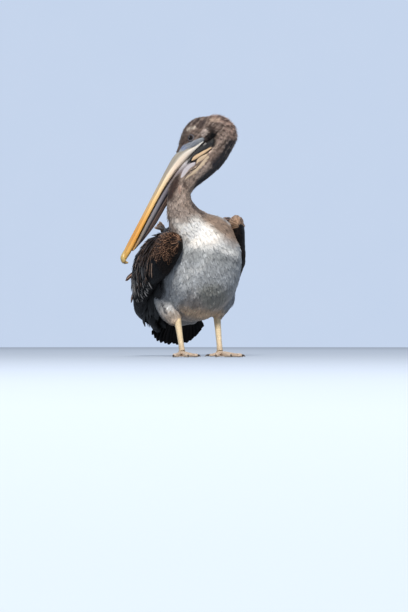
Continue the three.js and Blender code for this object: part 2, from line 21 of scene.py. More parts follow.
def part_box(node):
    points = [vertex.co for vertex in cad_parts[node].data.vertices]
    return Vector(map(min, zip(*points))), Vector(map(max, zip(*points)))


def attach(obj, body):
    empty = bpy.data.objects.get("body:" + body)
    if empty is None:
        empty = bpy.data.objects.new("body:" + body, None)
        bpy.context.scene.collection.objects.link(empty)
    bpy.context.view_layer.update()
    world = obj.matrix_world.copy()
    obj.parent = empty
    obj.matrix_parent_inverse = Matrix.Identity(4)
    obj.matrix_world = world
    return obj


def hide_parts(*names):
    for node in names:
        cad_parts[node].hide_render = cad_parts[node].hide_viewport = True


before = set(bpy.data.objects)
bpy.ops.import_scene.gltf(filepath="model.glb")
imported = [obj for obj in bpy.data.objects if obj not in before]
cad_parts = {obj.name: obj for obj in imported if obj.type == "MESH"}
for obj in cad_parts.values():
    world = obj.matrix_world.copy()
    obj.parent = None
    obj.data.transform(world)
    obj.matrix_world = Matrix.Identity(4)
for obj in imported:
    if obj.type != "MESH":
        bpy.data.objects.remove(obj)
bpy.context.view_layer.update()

LOG = logging.getLogger("pelican")
MM = 0.001
BODY = "root"
Array = np.ndarray
Rgb = tuple[float, float, float]
Piece = bpy.types.Object
CHUNK = 20000
PAST_END = 14.0


# ---------- Numbers and curves ----------
def unit(vectors: Array) -> Array:
    """Vectors scaled to length one."""
    length = np.linalg.norm(vectors, axis=-1, keepdims=True)
    return vectors / np.maximum(length, 1e-9)


def ramp(low: float, high: float, value: Array) -> Array:
    """A smooth step from 0 at low to 1 at high."""
    t = np.clip((np.asarray(value, float) - low) / (high - low), 0.0, 1.0)
    return t * t * (3 - 2 * t)


def near(points: Array, centre: Sequence[float], radius: float) -> Array:
    """A soft spot: 1 at the centre, falling to 0 at about the radius.

    Args:
        points: Places, one a row.
        centre: The spot's middle.
        radius: Where the spot has faded out.

    Returns:
        The spot's strength at each place.
    """
    away = np.linalg.norm(points - np.asarray(centre, float), axis=-1)
    return 1 - ramp(0.25 * radius, radius, away)


def along_curve(values: Sequence[float], t: Array) -> Array:
    """A smooth curve through evenly spaced numbers.

    Args:
        values: The numbers to pass through.
        t: Where to read the curve, from 0 to 1.

    Returns:
        The curve's value at each t.
    """
    v = np.asarray(values, float)
    place = np.clip(t, 0, 1) * (len(v) - 1)
    i = np.minimum(place.astype(int), len(v) - 2)
    f = place - i
    a, b, c, d = v[np.maximum(i - 1, 0)], v[i], v[i + 1], v[np.minimum(i + 2, len(v) - 1)]
    rise, fall = (c - a) / 2, (d - b) / 2
    f2, f3 = f * f, f * f * f
    return (2 * f3 - 3 * f2 + 1) * b + (f3 - 2 * f2 + f) * rise + (3 * f2 - 2 * f3) * c + (f3 - f2) * fall


class Path:
    """A smooth curve through points, with its points spaced by the root of their distance."""

    def __init__(self, points: Sequence[Sequence[float]]) -> None:
        """Keeps the points, with one more beyond each end.

        Args:
            points: The points, one a row.
        """
        p = np.asarray(points, float)
        self.count = len(p)
        self.points = np.vstack([2 * p[0] - p[1], p, 2 * p[-1] - p[-2]])

    def at(self, t: Array) -> Array:
        """The places on the curve at t from 0 to 1, going straight on past either end.

        Args:
            t: Where along it, from 0 to 1.

        Returns:
            The places, one a row.
        """
        t = np.asarray(t, float)
        inside = np.clip(t, 0, 1)
        place = inside * (self.count - 1)
        i = np.minimum(place.astype(int), self.count - 2)
        f = (place - i)[:, None]
        x0, x1, x2, x3 = (self.points[i + k] for k in range(4))
        pairs = ((x0, x1), (x1, x2), (x2, x3))
        d0, d1, d2 = (np.sqrt(np.linalg.norm(b - a, axis=1))[:, None] for a, b in pairs)
        m1 = ((x1 - x0) / d0 - (x2 - x0) / (d0 + d1) + (x2 - x1) / d1) * d1
        m2 = ((x2 - x1) / d1 - (x3 - x1) / (d1 + d2) + (x3 - x2) / d2) * d1
        curve = x1 + m1 * f + (3 * (x2 - x1) - 2 * m1 - m2) * f**2 + (2 * (x1 - x2) + m1 + m2) * f**3
        first, second, before, last = self.points[[1, 2, -3, -2]]
        down = t[:, None]
        past = np.where(down < 0, down * (second - first), (down - 1) * (last - before))
        return curve + ((t < 0) | (t > 1))[:, None] * past * (self.count - 1)

    def way(self, t: Array) -> Array:
        """The curve's unit direction at each t.

        Args:
            t: Where along it, from 0 to 1.

        Returns:
            The directions, one a row.
        """
        step = 1e-3
        t = np.clip(np.asarray(t, float), step, 1 - step)
        return unit(self.at(t + step) - self.at(t - step))


@dataclass(frozen=True)
class Station:
    """One section of a swept body: its centre, half width, half heights up and down and its roll."""

    at: tuple[float, float, float]
    wide: float
    up: float
    down: float | None = None
    roll: float = 0.0


class Sweep:
    """A body swept along stations, kept upright with respect to a top direction."""

    def __init__(self, stations: Sequence[Station], top: Sequence[float] = (0, 0, 1)) -> None:
        """Keeps the stations' path and sizes.

        Args:
            stations: The sections in order.
            top: Which way is up for the body.
        """
        self.path = Path([s.at for s in stations])
        self.top = np.asarray(top, float)
        self.wide = [s.wide for s in stations]
        self.up = [s.up for s in stations]
        self.down = [s.up if s.down is None else s.down for s in stations]
        self.roll = [math.radians(s.roll) for s in stations]

    def axes(self, t: Array) -> tuple[Array, Array, Array]:
        """The path's direction and the section's side and rise directions at each t.

        Args:
            t: Where along it, from 0 to 1.

        Returns:
            The three directions, each one a row.
        """
        way = self.path.way(t)
        side = unit(np.cross(self.top[None, :], way))
        rise = unit(np.cross(way, side))
        roll = along_curve(self.roll, t)[:, None]
        turned = side * np.cos(roll) + rise * np.sin(roll)
        return way, turned, rise * np.cos(roll) - side * np.sin(roll)

    def surface(self, t: Array, angle: Array, grow: float = 0.0) -> Array:
        """Places on the surface.

        Args:
            t: How far along, from 0 to 1.
            angle: How far round from the side direction towards the rise, in radians.
            grow: How far outside the surface.

        Returns:
            The places, one a row.
        """
        _, side, rise = self.axes(t)
        height = np.where(np.sin(angle) > 0, along_curve(self.up, t), along_curve(self.down, t)) + grow
        across = np.cos(angle) * (along_curve(self.wide, t) + grow)
        return self.path.at(t) + side * across[:, None] + rise * (np.sin(angle) * height)[:, None]

    def inside(self, points: Array, grow: float = 0.0) -> Array:
        """Whether each point is within the body grown by so much.

        Args:
            points: Places in bird millimetres, one a row.
            grow: How much larger the body is taken.

        Returns:
            True for each point within.
        """
        ts = np.linspace(0, 1, 60)
        centres = self.path.at(ts)
        way, side, rise = self.axes(ts)
        nearest = np.argmin(np.linalg.norm(points[:, None, :] - centres[None], axis=2), axis=1)
        off = points - centres[nearest]
        x = np.einsum("ij,ij->i", off, side[nearest]) / (along_curve(self.wide, ts)[nearest] + grow)
        z = np.einsum("ij,ij->i", off, rise[nearest])
        up, down = (along_curve(sizes, ts)[nearest] for sizes in (self.up, self.down))
        height = np.where(z > 0, up, down) + grow
        y = np.einsum("ij,ij->i", off, way[nearest])
        return (x**2 + (z / height) ** 2 < 1) & (np.abs(y) < PAST_END + grow)


def swept(*rows: Sequence[float], top: Sequence[float] = (0, 0, 1)) -> Sweep:
    """A swept body from rows of x, y, z, half width, half heights up and down and roll."""
    return Sweep([Station(tuple(row[:3]), *row[3:]) for row in rows], top)


def within(forms: Sequence[Sweep], points: Array, grow: float) -> Array:
    """Whether each point is within any of several bodies grown by so much."""
    return np.any([form.inside(points, grow) for form in forms], axis=0)


# ---------- The bird's frame and the head's ----------
HEAD_AT = np.array((-80.0, -100.0, 494.0))
BILL_WAY = unit(np.array((-0.455, 0.0, -0.89)))
CROWN_WAY = np.array((-0.895, -0.02, 0.439))
HEAD_LEFT = unit(np.cross(CROWN_WAY, BILL_WAY))
HEAD_CROWN = unit(np.cross(BILL_WAY, HEAD_LEFT))
HEAD_AXES = np.array([HEAD_LEFT, -BILL_WAY, HEAD_CROWN])
EYE_AT = (19.5, 37.5, -15.0)


def on_head(points: Array) -> Array:
    """Places in the head's axes (left, back, crown) as places in the bird's frame."""
    return HEAD_AT + np.asarray(points, float) @ HEAD_AXES


def head_place(points: Array) -> Array:
    """Places in the bird's frame as places in the head's axes."""
    return (np.asarray(points, float) - HEAD_AT) @ HEAD_AXES.T


def model_origin() -> Array:
    """The bird's own origin in the model's frame, in millimetres, from the left eye's place."""
    low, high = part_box("eye_left")
    return np.array((low + high) / 2) / MM - on_head(np.array([EYE_AT]))[0]


ORIGIN = model_origin()


def to_model(points: Array) -> Array:
    """Bird millimetres as model metres."""
    return (np.asarray(points, float) + ORIGIN) * MM


def to_bird(points: Array) -> Array:
    """Model metres as bird millimetres."""
    return np.asarray(points, float) / MM - ORIGIN


def linear(code: int) -> Rgb:
    """A colour as seen on a screen, such as 0x6f5d51, as the light it reflects."""
    shares = [((code >> shift) & 255) / 255 for shift in (16, 8, 0)]
    return tuple(c / 12.92 if c <= 0.04045 else ((c + 0.055) / 1.055) ** 2.4 for c in shares)


def rgba(code: int) -> tuple[float, float, float, float]:
    """The same with full cover."""
    return (*linear(code), 1.0)


def paint(codes: Sequence[int]) -> Array:
    """Several screen colours as rows of reflected light."""
    return np.array([linear(code) for code in codes])


# ---------- Shader maths ----------
class Wire:
    """A shader value that Python's operators work on, each adding a Math node."""

    def __init__(self, graph: "Graph", socket: bpy.types.NodeSocket) -> None:
        """Keeps the socket and the node tree it is in."""
        self.graph = graph
        self.socket = socket

    def maths(self, operation: str, *others: "Wire | float") -> "Wire":
        """This value and others through one Math node.

        Args:
            operation: The Math node's operation.
            others: The other values.

        Returns:
            The node's result.
        """
        values = dict(enumerate((self, *others)))
        node = self.graph.node("ShaderNodeMath", {"operation": operation}, values)
        return Wire(self.graph, node.outputs[0])

    def __add__(self, other: "Wire | float") -> "Wire":
        """The sum."""
        return self.maths("ADD", other)

    def __sub__(self, other: "Wire | float") -> "Wire":
        """The difference."""
        return self.maths("SUBTRACT", other)

    def __mul__(self, other: "Wire | float") -> "Wire":
        """The product."""
        return self.maths("MULTIPLY", other)

    def sized(self) -> "Wire":
        """The value without its sign."""
        return self.maths("ABSOLUTE")

    def step(self, low: float, high: float) -> "Wire":
        """A smooth step from 0 at low to 1 at high, or from 1 to 0 where low is the higher.

        Args:
            low: Where the step starts.
            high: Where it ends.

        Returns:
            The stepped value.
        """
        inputs = {"Value": self, "From Min": min(low, high), "From Max": max(low, high)}
        inputs["To Min"] = float(low > high)
        inputs["To Max"] = float(low < high)
        node = self.graph.node("ShaderNodeMapRange", {"interpolation_type": "SMOOTHSTEP"}, inputs)
        return Wire(self.graph, node.outputs[0])


Value = Wire | float | Sequence[float]


class Graph:
    """A material's nodes, with one way to add any of them."""

    def __init__(self, name: str) -> None:
        """Starts a material with an empty Principled shader.

        Args:
            name: The material's name.
        """
        self.material = bpy.data.materials.new(name)
        self.material.use_nodes = True
        self.tree = self.material.node_tree
        self.shader = self.tree.nodes["Principled BSDF"]

    def node(self, kind: str, settings: dict[str, object], inputs: dict[str | int, Value]) -> bpy.types.Node:
        """Adds a node.

        Args:
            kind: The node's type.
            settings: Its properties, set first.
            inputs: What each of its sockets holds or is linked to.

        Returns:
            The node.
        """
        node = self.tree.nodes.new(kind)
        for key, value in settings.items():
            setattr(node, key, value)
        for key, value in inputs.items():
            self.join(node.inputs[key], value)
        return node

    def join(self, socket: bpy.types.NodeSocket, value: Value) -> None:
        """Links a wire to a socket, or sets the socket's own value.

        Args:
            socket: The socket.
            value: What it gets.
        """
        if isinstance(value, Wire):
            self.tree.links.new(value.socket, socket)
        else:
            socket.default_value = value

    def place(self) -> Wire:
        """The place on the object, in metres."""
        return Wire(self, self.node("ShaderNodeTexCoord", {}, {}).outputs["Object"])

    def stored(self, name: str, output: str = "Color") -> Wire:
        """A named attribute of the mesh."""
        settings = {"attribute_type": "GEOMETRY", "attribute_name": name}
        return Wire(self, self.node("ShaderNodeAttribute", settings, {}).outputs[output])

    def uv(self, name: str) -> tuple[Wire, Wire, Wire]:
        """A UV map, and its across and along values.

        Args:
            name: The map's name.

        Returns:
            The map, and its two values.
        """
        where = Wire(self, self.node("ShaderNodeUVMap", {"uv_map": name}, {}).outputs[0])
        parts = self.node("ShaderNodeSeparateXYZ", {}, {0: where})
        return where, Wire(self, parts.outputs[0]), Wire(self, parts.outputs[1])

    def noise(
        self, scale: float, where: Wire | None = None, detail: float = 3.0, rough: float = 0.55
    ) -> Wire:
        """Cloudy noise from 0 to 1.

        Args:
            scale: Its waves to a metre, or to the width of a UV map.
            where: Where it is read, which is the object's place if left out.
            detail: Its octaves.
            rough: How strong the finer ones are.

        Returns:
            The noise.
        """
        where = where or self.place()
        inputs = {"Vector": where, "Scale": scale, "Detail": detail, "Roughness": rough}
        return Wire(self, self.node("ShaderNodeTexNoise", {}, inputs).outputs[0])

    def cells(self, scale: float) -> Wire:
        """The distance to the nearest edge between scattered cells.

        Args:
            scale: How many cells to a metre.

        Returns:
            The distance.
        """
        inputs = {"Vector": self.place(), "Scale": scale}
        node = self.node("ShaderNodeTexVoronoi", {"feature": "DISTANCE_TO_EDGE"}, inputs)
        return Wire(self, node.outputs[0])

    def stretched(self, where: Wire, scale: Sequence[float]) -> Wire:
        """A place stretched along its axes."""
        node = self.node("ShaderNodeMapping", {}, {"Vector": where, "Scale": scale})
        return Wire(self, node.outputs[0])

    def blend(self, share: Value, first: Value, second: Value) -> Wire:
        """Two colours mixed, with so much of the second."""
        inputs = {0: share, 6: first, 7: second}
        return Wire(self, self.node("ShaderNodeMix", {"data_type": "RGBA"}, inputs).outputs[2])

    def shaded(self, colour: Wire, amount: Value) -> Wire:
        """A colour made lighter or darker by an amount near 1."""
        node = self.node("ShaderNodeVectorMath", {"operation": "SCALE"}, {0: colour, "Scale": amount})
        return Wire(self, node.outputs[0])

    def bump(self, height: Wire, distance: float, strength: float) -> Wire:
        """A bump of so many metres."""
        inputs = {"Height": height, "Distance": distance, "Strength": strength}
        return Wire(self, self.node("ShaderNodeBump", {}, inputs).outputs[0])

    def finish(self, **sockets: Value) -> bpy.types.Material:
        """Joins the shader's sockets, named with _ for a space, and gives the material.

        Args:
            sockets: What each socket gets.

        Returns:
            The material.
        """
        for key, value in sockets.items():
            self.join(self.shader.inputs[key.replace("_", " ")], value)
        return self.material


# ---------- Finishes ----------
@dataclass(frozen=True)
class CoatFinish:
    """Small feathers, coloured by their marking, with a fine silky grain."""

    name: str
    rough: float = 0.72
    sheen: float = 0.12

    def material(self) -> bpy.types.Material:
        """The finish as a material.

        Returns:
            The material.
        """
        g = Graph(self.name)
        grain = g.noise(420.0, detail=2.0)
        colour = g.shaded(g.stored("Marking"), grain * 0.5 + 0.76)
        height = g.noise(900.0, detail=1.0)
        return g.finish(
            Base_Color=colour,
            Roughness=self.rough,
            Sheen_Weight=self.sheen,
            Sheen_Roughness=0.5,
            Specular_IOR_Level=0.28,
            Normal=g.bump(height, 0.0002, 0.5),
        )


@dataclass(frozen=True)
class VaneFinish:
    """Large feathers: a shaft, slanting barbs and a worn, paler edge."""

    name: str
    rough: float = 0.5
    barbs: float = 60.0
    slant: float = 26.0
    heart: float = 0.05
    gloss: float = 0.35
    rag: float = 0.16

    def material(self) -> bpy.types.Material:
        """The finish as a material.

        Returns:
            The material.
        """
        g = Graph(self.name)
        where, across, along = g.uv("Vane")
        off = (across - 0.5).sized()
        ragged = g.noise(9.0, g.stretched(where, (1.0, 14.0, 1.0)), detail=3.0) * self.rag
        edge = (off + ragged).step(0.36, 0.52)
        tip = (along + ragged * 0.6).step(0.9, 1.04)
        rim = edge.maths("MAXIMUM", tip)
        colour = g.blend(rim, g.stored("Marking"), g.stored("Fringe"))
        heart = (off + ragged * 0.5).step(self.heart, 0.4 * self.heart) * along.step(0.98, 0.8)
        colour = g.blend(heart * 0.9, colour, g.stored("Shaft"))
        shaft = off.step(0.045, 0.015)
        line = (along * self.barbs + off * self.slant) * (2 * math.pi)
        barb = line.maths("SINE")
        streak = g.noise(5.0, g.stretched(where, (16.0, 2.0, 1.0)), detail=2.0)
        colour = g.shaded(colour, streak * 0.5 + 0.72 + barb * 0.05)
        height = barb * 0.25 + shaft * 2.0 + streak * 0.5
        return g.finish(
            Base_Color=colour,
            Roughness=self.rough,
            Specular_IOR_Level=self.gloss,
            Normal=g.bump(height, 0.0003, 0.6),
        )


@dataclass(frozen=True)
class SkinFinish:
    """Skin that carries the coat's marking, and bare skin where there is no coat."""

    name: str
    wrinkle: float = 620.0
    rough: float = 0.55

    def material(self) -> bpy.types.Material:
        """The finish as a material.

        Returns:
            The material.
        """
        g = Graph(self.name)
        cells = g.cells(self.wrinkle).step(0.0, 0.16)
        soft = g.noise(160.0)
        colour = g.shaded(g.stored("Marking"), soft * 0.3 + 0.76 + cells * 0.1)
        height = cells * 0.6 + soft * 0.6
        return g.finish(
            Base_Color=colour,
            Roughness=self.rough,
            Specular_IOR_Level=0.4,
            Normal=g.bump(height, 0.0004, 0.7),
        )


@dataclass(frozen=True)
class HornFinish:
    """Horn: the piece's marking, long growth lines and fine scuffs, with a low gloss."""

    name: str
    gloss: float = 0.38
    lines: float = 1.0

    def material(self) -> bpy.types.Material:
        """The finish as a material.

        Returns:
            The material.
        """
        g = Graph(self.name)
        where, _, _ = g.uv("UVMap")
        long_lines = g.noise(6.0, g.stretched(where, (9.0, 0.9, 1.0)), detail=5.0, rough=0.65)
        flecks = g.noise(300.0, detail=4.0, rough=0.7)
        tone = long_lines * (0.55 * self.lines) + 0.9 - 0.28 * self.lines + flecks * 0.16
        colour = g.shaded(g.stored("Marking"), tone)
        stain = flecks.step(0.6, 0.74) * 0.35
        colour = g.blend(stain, colour, g.shaded(colour, 0.55))
        height = long_lines * 0.8 + flecks * 0.3
        return g.finish(
            Base_Color=colour,
            Roughness=flecks * 0.25 + (self.gloss - 0.08),
            Specular_IOR_Level=0.45,
            Normal=g.bump(height, 0.0004, 0.55),
        )


@dataclass(frozen=True)
class ScaleFinish:
    """Scaly skin on the legs, toes and webs."""

    name: str
    scale: float
    depth: float = 0.0005
    rough: float = 0.5

    def material(self) -> bpy.types.Material:
        """The finish as a material.

        Returns:
            The material.
        """
        g = Graph(self.name)
        gap = g.cells(self.scale).step(0.0, 0.14)
        cloud = g.noise(90.0, detail=4.0)
        colour = g.shaded(g.stored("Marking"), gap * 0.26 + cloud * 0.42 + 0.52)
        return g.finish(
            Base_Color=colour,
            Roughness=self.rough,
            Specular_IOR_Level=0.4,
            Normal=g.bump(gap + cloud * 0.5, self.depth, 0.7),
        )


@dataclass(frozen=True)
class EyeFinish:
    """A wet eye: a dark pupil in a brown iris with fine rays."""

    name: str
    pupil: float = 0.80
    rim: float = 0.68

    def material(self) -> bpy.types.Material:
        """The finish as a material.

        Returns:
            The material.
        """
        g = Graph(self.name)
        where, _, depth = g.uv("UVMap")
        rays = g.noise(5.0, g.stretched(where, (12.0, 2.0, 1.0)), detail=3.0)
        iris = g.blend(rays, rgba(0x1D1410), rgba(0x4A3527))
        colour = g.blend(depth.step(self.rim + 0.03, self.rim - 0.03), iris, rgba(0x0B0A0B))
        colour = g.blend(depth.step(self.pupil - 0.02, self.pupil + 0.02), colour, rgba(0x020203))
        return g.finish(
            Base_Color=colour,
            Roughness=0.12,
            Specular_IOR_Level=0.18,
            Coat_Weight=0.12,
            Coat_Roughness=0.03,
        )


@dataclass(frozen=True)
class StageFinish:
    """A plain paper-like surface for the floor and the backdrop."""

    name: str
    colour: int
    glow: float = 0.0

    def material(self) -> bpy.types.Material:
        """The finish as a material.

        Returns:
            The material.
        """
        g = Graph(self.name)
        cloud = g.noise(3.0)
        colour = g.blend(cloud * 0.04, rgba(self.colour), (1.0, 1.0, 1.0, 1.0))
        lit = g.blend(self.glow, colour, (0.0, 0.0, 0.0, 1.0))
        return g.finish(
            Base_Color=lit,
            Emission_Color=colour,
            Emission_Strength=self.glow,
            Roughness=0.9,
            Specular_IOR_Level=0.0,
        )


# ---------- Mesh work ----------
def lone(piece: Piece) -> None:
    """Makes one object the only one selected, and the active one.

    Args:
        piece: The object.
    """
    bpy.ops.object.select_all(action="DESELECT")
    piece.select_set(True)
    bpy.context.view_layer.objects.active = piece


def per_vertex(mesh: bpy.types.Mesh, kind: str = "co") -> Array:
    """A mesh's places or normals, a vertex a row.

    Args:
        mesh: The mesh.
        kind: co for places, normal for normals.

    Returns:
        The values, one a row.
    """
    flat = np.empty(len(mesh.vertices) * 3)
    mesh.vertices.foreach_get(kind, flat)
    return flat.reshape(-1, 3)


def set_coordinates(mesh: bpy.types.Mesh, places: Array) -> None:
    """Moves a mesh's vertices."""
    mesh.vertices.foreach_set("co", np.ascontiguousarray(places, dtype=float).ravel())
    mesh.update()


def store(mesh: bpy.types.Mesh, name: str, colours: Array) -> None:
    """Keeps a colour for each vertex under a name.

    Args:
        mesh: The mesh.
        name: Its name.
        colours: A colour for each vertex.
    """
    layer = mesh.color_attributes.new(name, "FLOAT_COLOR", "POINT")
    full = np.ones((len(mesh.vertices), 4))
    full[:, :3] = np.clip(colours, 0, 1)
    layer.data.foreach_set("color", full.ravel())


@dataclass(frozen=True)
class Part:
    """What a finished piece is called, what it stands for and its finish."""

    name: str
    nodes: tuple[str, ...]
    slot: str
    finish: bpy.types.Material

    def settle(self, piece: Piece) -> Piece:
        """Names, dresses and fixes a piece to the body.

        Args:
            piece: The finished object.

        Returns:
            The same object.
        """
        piece.name = self.name
        piece.data.name = self.name
        piece.data.materials.clear()
        piece.data.materials.append(self.finish)
        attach(piece, BODY)
        if self.nodes:
            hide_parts(*self.nodes)
        LOG.info("%s: %d faces", self.name, len(piece.data.polygons))
        return piece


def grid(rows: int, columns: int) -> Piece:
    """A flat grid from 0 to 1 each way, with a UV map of the same values.

    Args:
        rows: Faces along it.
        columns: Faces across it.

    Returns:
        The grid.
    """
    bpy.ops.object.select_all(action="DESELECT")
    bpy.ops.mesh.primitive_grid_add(x_subdivisions=columns, y_subdivisions=rows, size=1, calc_uvs=True)
    return bpy.context.object


def tidy_mesh(piece: Piece) -> None:
    """Merges doubled vertices and points the faces outwards.

    Args:
        piece: The object.
    """
    lone(piece)
    bpy.ops.object.mode_set(mode="EDIT")
    bpy.ops.mesh.select_all(action="SELECT")
    bpy.ops.mesh.remove_doubles(threshold=WELD)
    bpy.ops.mesh.dissolve_degenerate(threshold=WELD)
    bpy.ops.mesh.normals_make_consistent(inside=False)
    bpy.ops.object.mode_set(mode="OBJECT")
    bpy.ops.object.shade_smooth()


Placing = Callable[[Array, Array], Array]
WELD = 1e-6
NEARLY = 0.999999


def rolled(flat: Array) -> Array:
    """The angle round of a grid's places, with its two long edges at the same one.

    Args:
        flat: The grid's places.

    Returns:
        The angles in radians.
    """
    angle = (flat[:, 0] + 0.5) * 2 * math.pi
    angle[flat[:, 0] + 0.5 > NEARLY] = 0.0
    return angle


def plain(code: int, like: Array) -> Array:
    """One colour for each of so many places."""
    return np.tile(np.array(linear(code)), (len(like), 1))


def graded(stops: Sequence[float], codes: Sequence[int], value: Array) -> Array:
    """Colours that change from stop to stop along a value."""
    return np.stack([np.interp(value, stops, tone) for tone in paint(codes).T], axis=1)


def tube(rows: int, around: int, placing: Placing, colouring: Placing | None = None) -> Piece:
    """A grid rolled into a tube and closed at both ends.

    Args:
        rows: Faces along it.
        around: Faces round it.
        placing: Gives bird millimetres from how far along (0 to 1) and the angle round.
        colouring: Gives the marking from the same two.

    Returns:
        The closed tube.
    """
    piece = grid(rows, around)
    flat = per_vertex(piece.data)
    angle = rolled(flat)
    step = (flat[:, 1] + 0.5) * rows
    along = np.clip((step - 1) / (rows - 2), 0, 1)
    places = placing(along, angle)
    for end, row in ((0.0, step < 0.5), (1.0, step > rows - 0.5)):
        rim = places[np.isclose(along, end, atol=1e-4) & ~row]
        places[row] = rim.mean(axis=0)
    set_coordinates(piece.data, to_model(places))
    if colouring:
        store(piece.data, "Marking", colouring(along, angle))
    tidy_mesh(piece)
    return piece


def hoop(rows: int, around: int, placing: Placing, colouring: Placing) -> Piece:
    """A grid rolled into a ring closed on itself, from the same kind of functions as a tube.

    Args:
        rows: Faces along it.
        around: Faces round it.
        placing: Gives its places.
        colouring: Gives its marking.

    Returns:
        The ring.
    """
    piece = grid(rows, around)
    flat = per_vertex(piece.data)
    angle = rolled(flat)
    along = flat[:, 1] + 0.5
    along[along > NEARLY] = 0.0
    set_coordinates(piece.data, to_model(placing(along, angle)))
    store(piece.data, "Marking", colouring(along, angle))
    tidy_mesh(piece)
    return piece


def merged(name: str, pieces: Sequence[Piece]) -> Piece:
    """Several objects joined into one.

    Args:
        name: Its name.
        pieces: The objects.

    Returns:
        The joined object.
    """
    lone(pieces[0])
    for piece in pieces[1:]:
        piece.select_set(True)
    bpy.ops.object.join()
    joined = bpy.context.object
    joined.name = name
    return joined


# ---------- The bird's form ----------
TRUNK = 95.0
NECK = 27.0

BELLY = swept(
    (-8, 190, 118, 20, 12, 12),
    (-6, 150, 130, 54, 38, 44),
    (-3, 100, 152, 0.87 * TRUNK, 62, 72),
    (4, 42, 184, TRUNK, 76, 94),
    (1, -20, 226, 1.03 * TRUNK, 78, 98),
    (-2, -66, 266, 0.94 * TRUNK, 62, 76),
    (-14, -84, 304, 0.72 * TRUNK, 42, 52),
    (-28, -92, 330, 0.36 * TRUNK, 22, 28),
    top=(0, 0.8, 0.6),
)
MANTLE = swept(
    (-6, -56, 296, 40, 20),
    (-4, -16, 272, 66, 48, 40),
    (-2, 56, 228, 66, 52, 40),
    (-3, 116, 184, 50, 40, 30),
    (-5, 168, 142, 24, 18, 14),
)
NECK_FORM = swept(
    (-8, -62, 268, 2.7 * NECK, 2.2 * NECK, 1.8 * NECK),
    (-31, -84, 300, 2.15 * NECK, 1.75 * NECK, 1.6 * NECK),
    (-58, -106, 328, 1.65 * NECK, 1.4 * NECK, 1.35 * NECK),
    (-75, -123, 362, 1.24 * NECK, 1.15 * NECK),
    (-76, -127, 392, 1.08 * NECK, 1.05 * NECK),
    (-56, -120, 420, 1.06 * NECK, 1.02 * NECK),
    (-20, -106, 448, 1.08 * NECK, 1.04 * NECK),
    (12, -97, 480, 1.18 * NECK, 1.1 * NECK),
    (29, -95, 512, 1.28 * NECK, 1.12 * NECK),
    (34, -97, 535, 1.34 * NECK, 1.12 * NECK),
    (25, -98, 554, 1.02 * NECK, 0.95 * NECK),
    (10, -98, 560, 0.4 * NECK, 0.4 * NECK),
    top=(0, 1, 0),
)
SKULL = swept(
    (0, -6, -15, 13, 12, 10),
    (0, 14, -19, 18, 19.5, 17),
    (0, 34, -23, 24, 27.5, 24),
    (0, 52, -27, 28, 32.5, 28),
    (0, 70, -35, 30, 33.5, 30),
    (0, 88, -49, 30, 26, 28),
    (0, 102, -66, 28, 23, 24),
    (0, 108, -84, 18, 14),
)
THIGHS = (
    swept(
        (-48, 66, 178, 30, 40, 36),
        (-62, 62, 150, 40, 50, 44),
        (-62, 50, 122, 36, 42, 36),
        (-59, 38, 98, 27, 28, 24),
        (-57, 33, 82, 14, 15, 14),
        top=(0, 1, 0),
    ),
    swept(
        (52, 58, 180, 34, 40, 36),
        (61, 50, 152, 38, 46, 42),
        (57, 42, 124, 28, 34, 32),
        (52, 33, 104, 16, 20, 17),
        (50, 30, 90, 10, 11),
        top=(0, 1, 0),
    ),
)
WING_RIGHT = swept(
    (-77, -137, 273, 3, 4),
    (-80, -128, 271, 14, 21),
    (-88, -104, 265, 22, 36, 34),
    (-102, -46, 247, 26, 51, 54, 2),
    (-115, 30, 231, 29, 55, 62, 2),
    (-122, 100, 204, 28, 54, 62, 2),
    (-117, 160, 168, 23, 49, 54, 4),
    (-103, 212, 128, 15, 34, 36, 6),
    (-85, 256, 94, 7, 14, 15, 8),
)
WING_LEFT = swept(
    (70, -120, 313, 2, 4),
    (69, -112, 312, 11, 23, 20, -2),
    (72, -90, 305, 19, 38, 34, -4),
    (83, -40, 281, 18, 50, 52, -10),
    (84, 30, 244, 17, 57, 56, -16),
    (80, 100, 204, 16, 56, 52, -22),
    (66, 165, 162, 12, 46, 42, -26),
    (48, 225, 122, 8, 30, 28, -30),
    (34, 276, 90, 4, 12, 12, -32),
)
SCAPULAR_RIGHT = swept(
    (-50, -72, 306, 8, 8),
    (-64, -30, 300, 26, 16, 26, 26),
    (-75, 36, 272, 30, 20, 30, 32),
    (-73, 100, 234, 28, 17, 28, 32),
    (-62, 160, 184, 18, 10, 16, 30),
    (-54, 206, 146, 6, 6, 6, 26),
)
SCAPULAR_LEFT = swept(
    (40, -70, 326, 8, 8),
    (54, -30, 322, 26, 18, 26, -26),
    (60, 36, 288, 30, 20, 30, -32),
    (56, 100, 243, 28, 17, 28, -32),
    (45, 160, 190, 18, 10, 16, -30),
    (36, 208, 150, 6, 6, 6, -26),
)

WING_FORMS = (WING_RIGHT, WING_LEFT, SCAPULAR_RIGHT, SCAPULAR_LEFT)
SPINE_STEPS = 120
REACH = (24, 26, 30, 30, 28, 28, 28, 30, 34, 46, 70, 86, 86, 80, 60, 40)
THIGH_REACH = (34, 32, 22, 12)


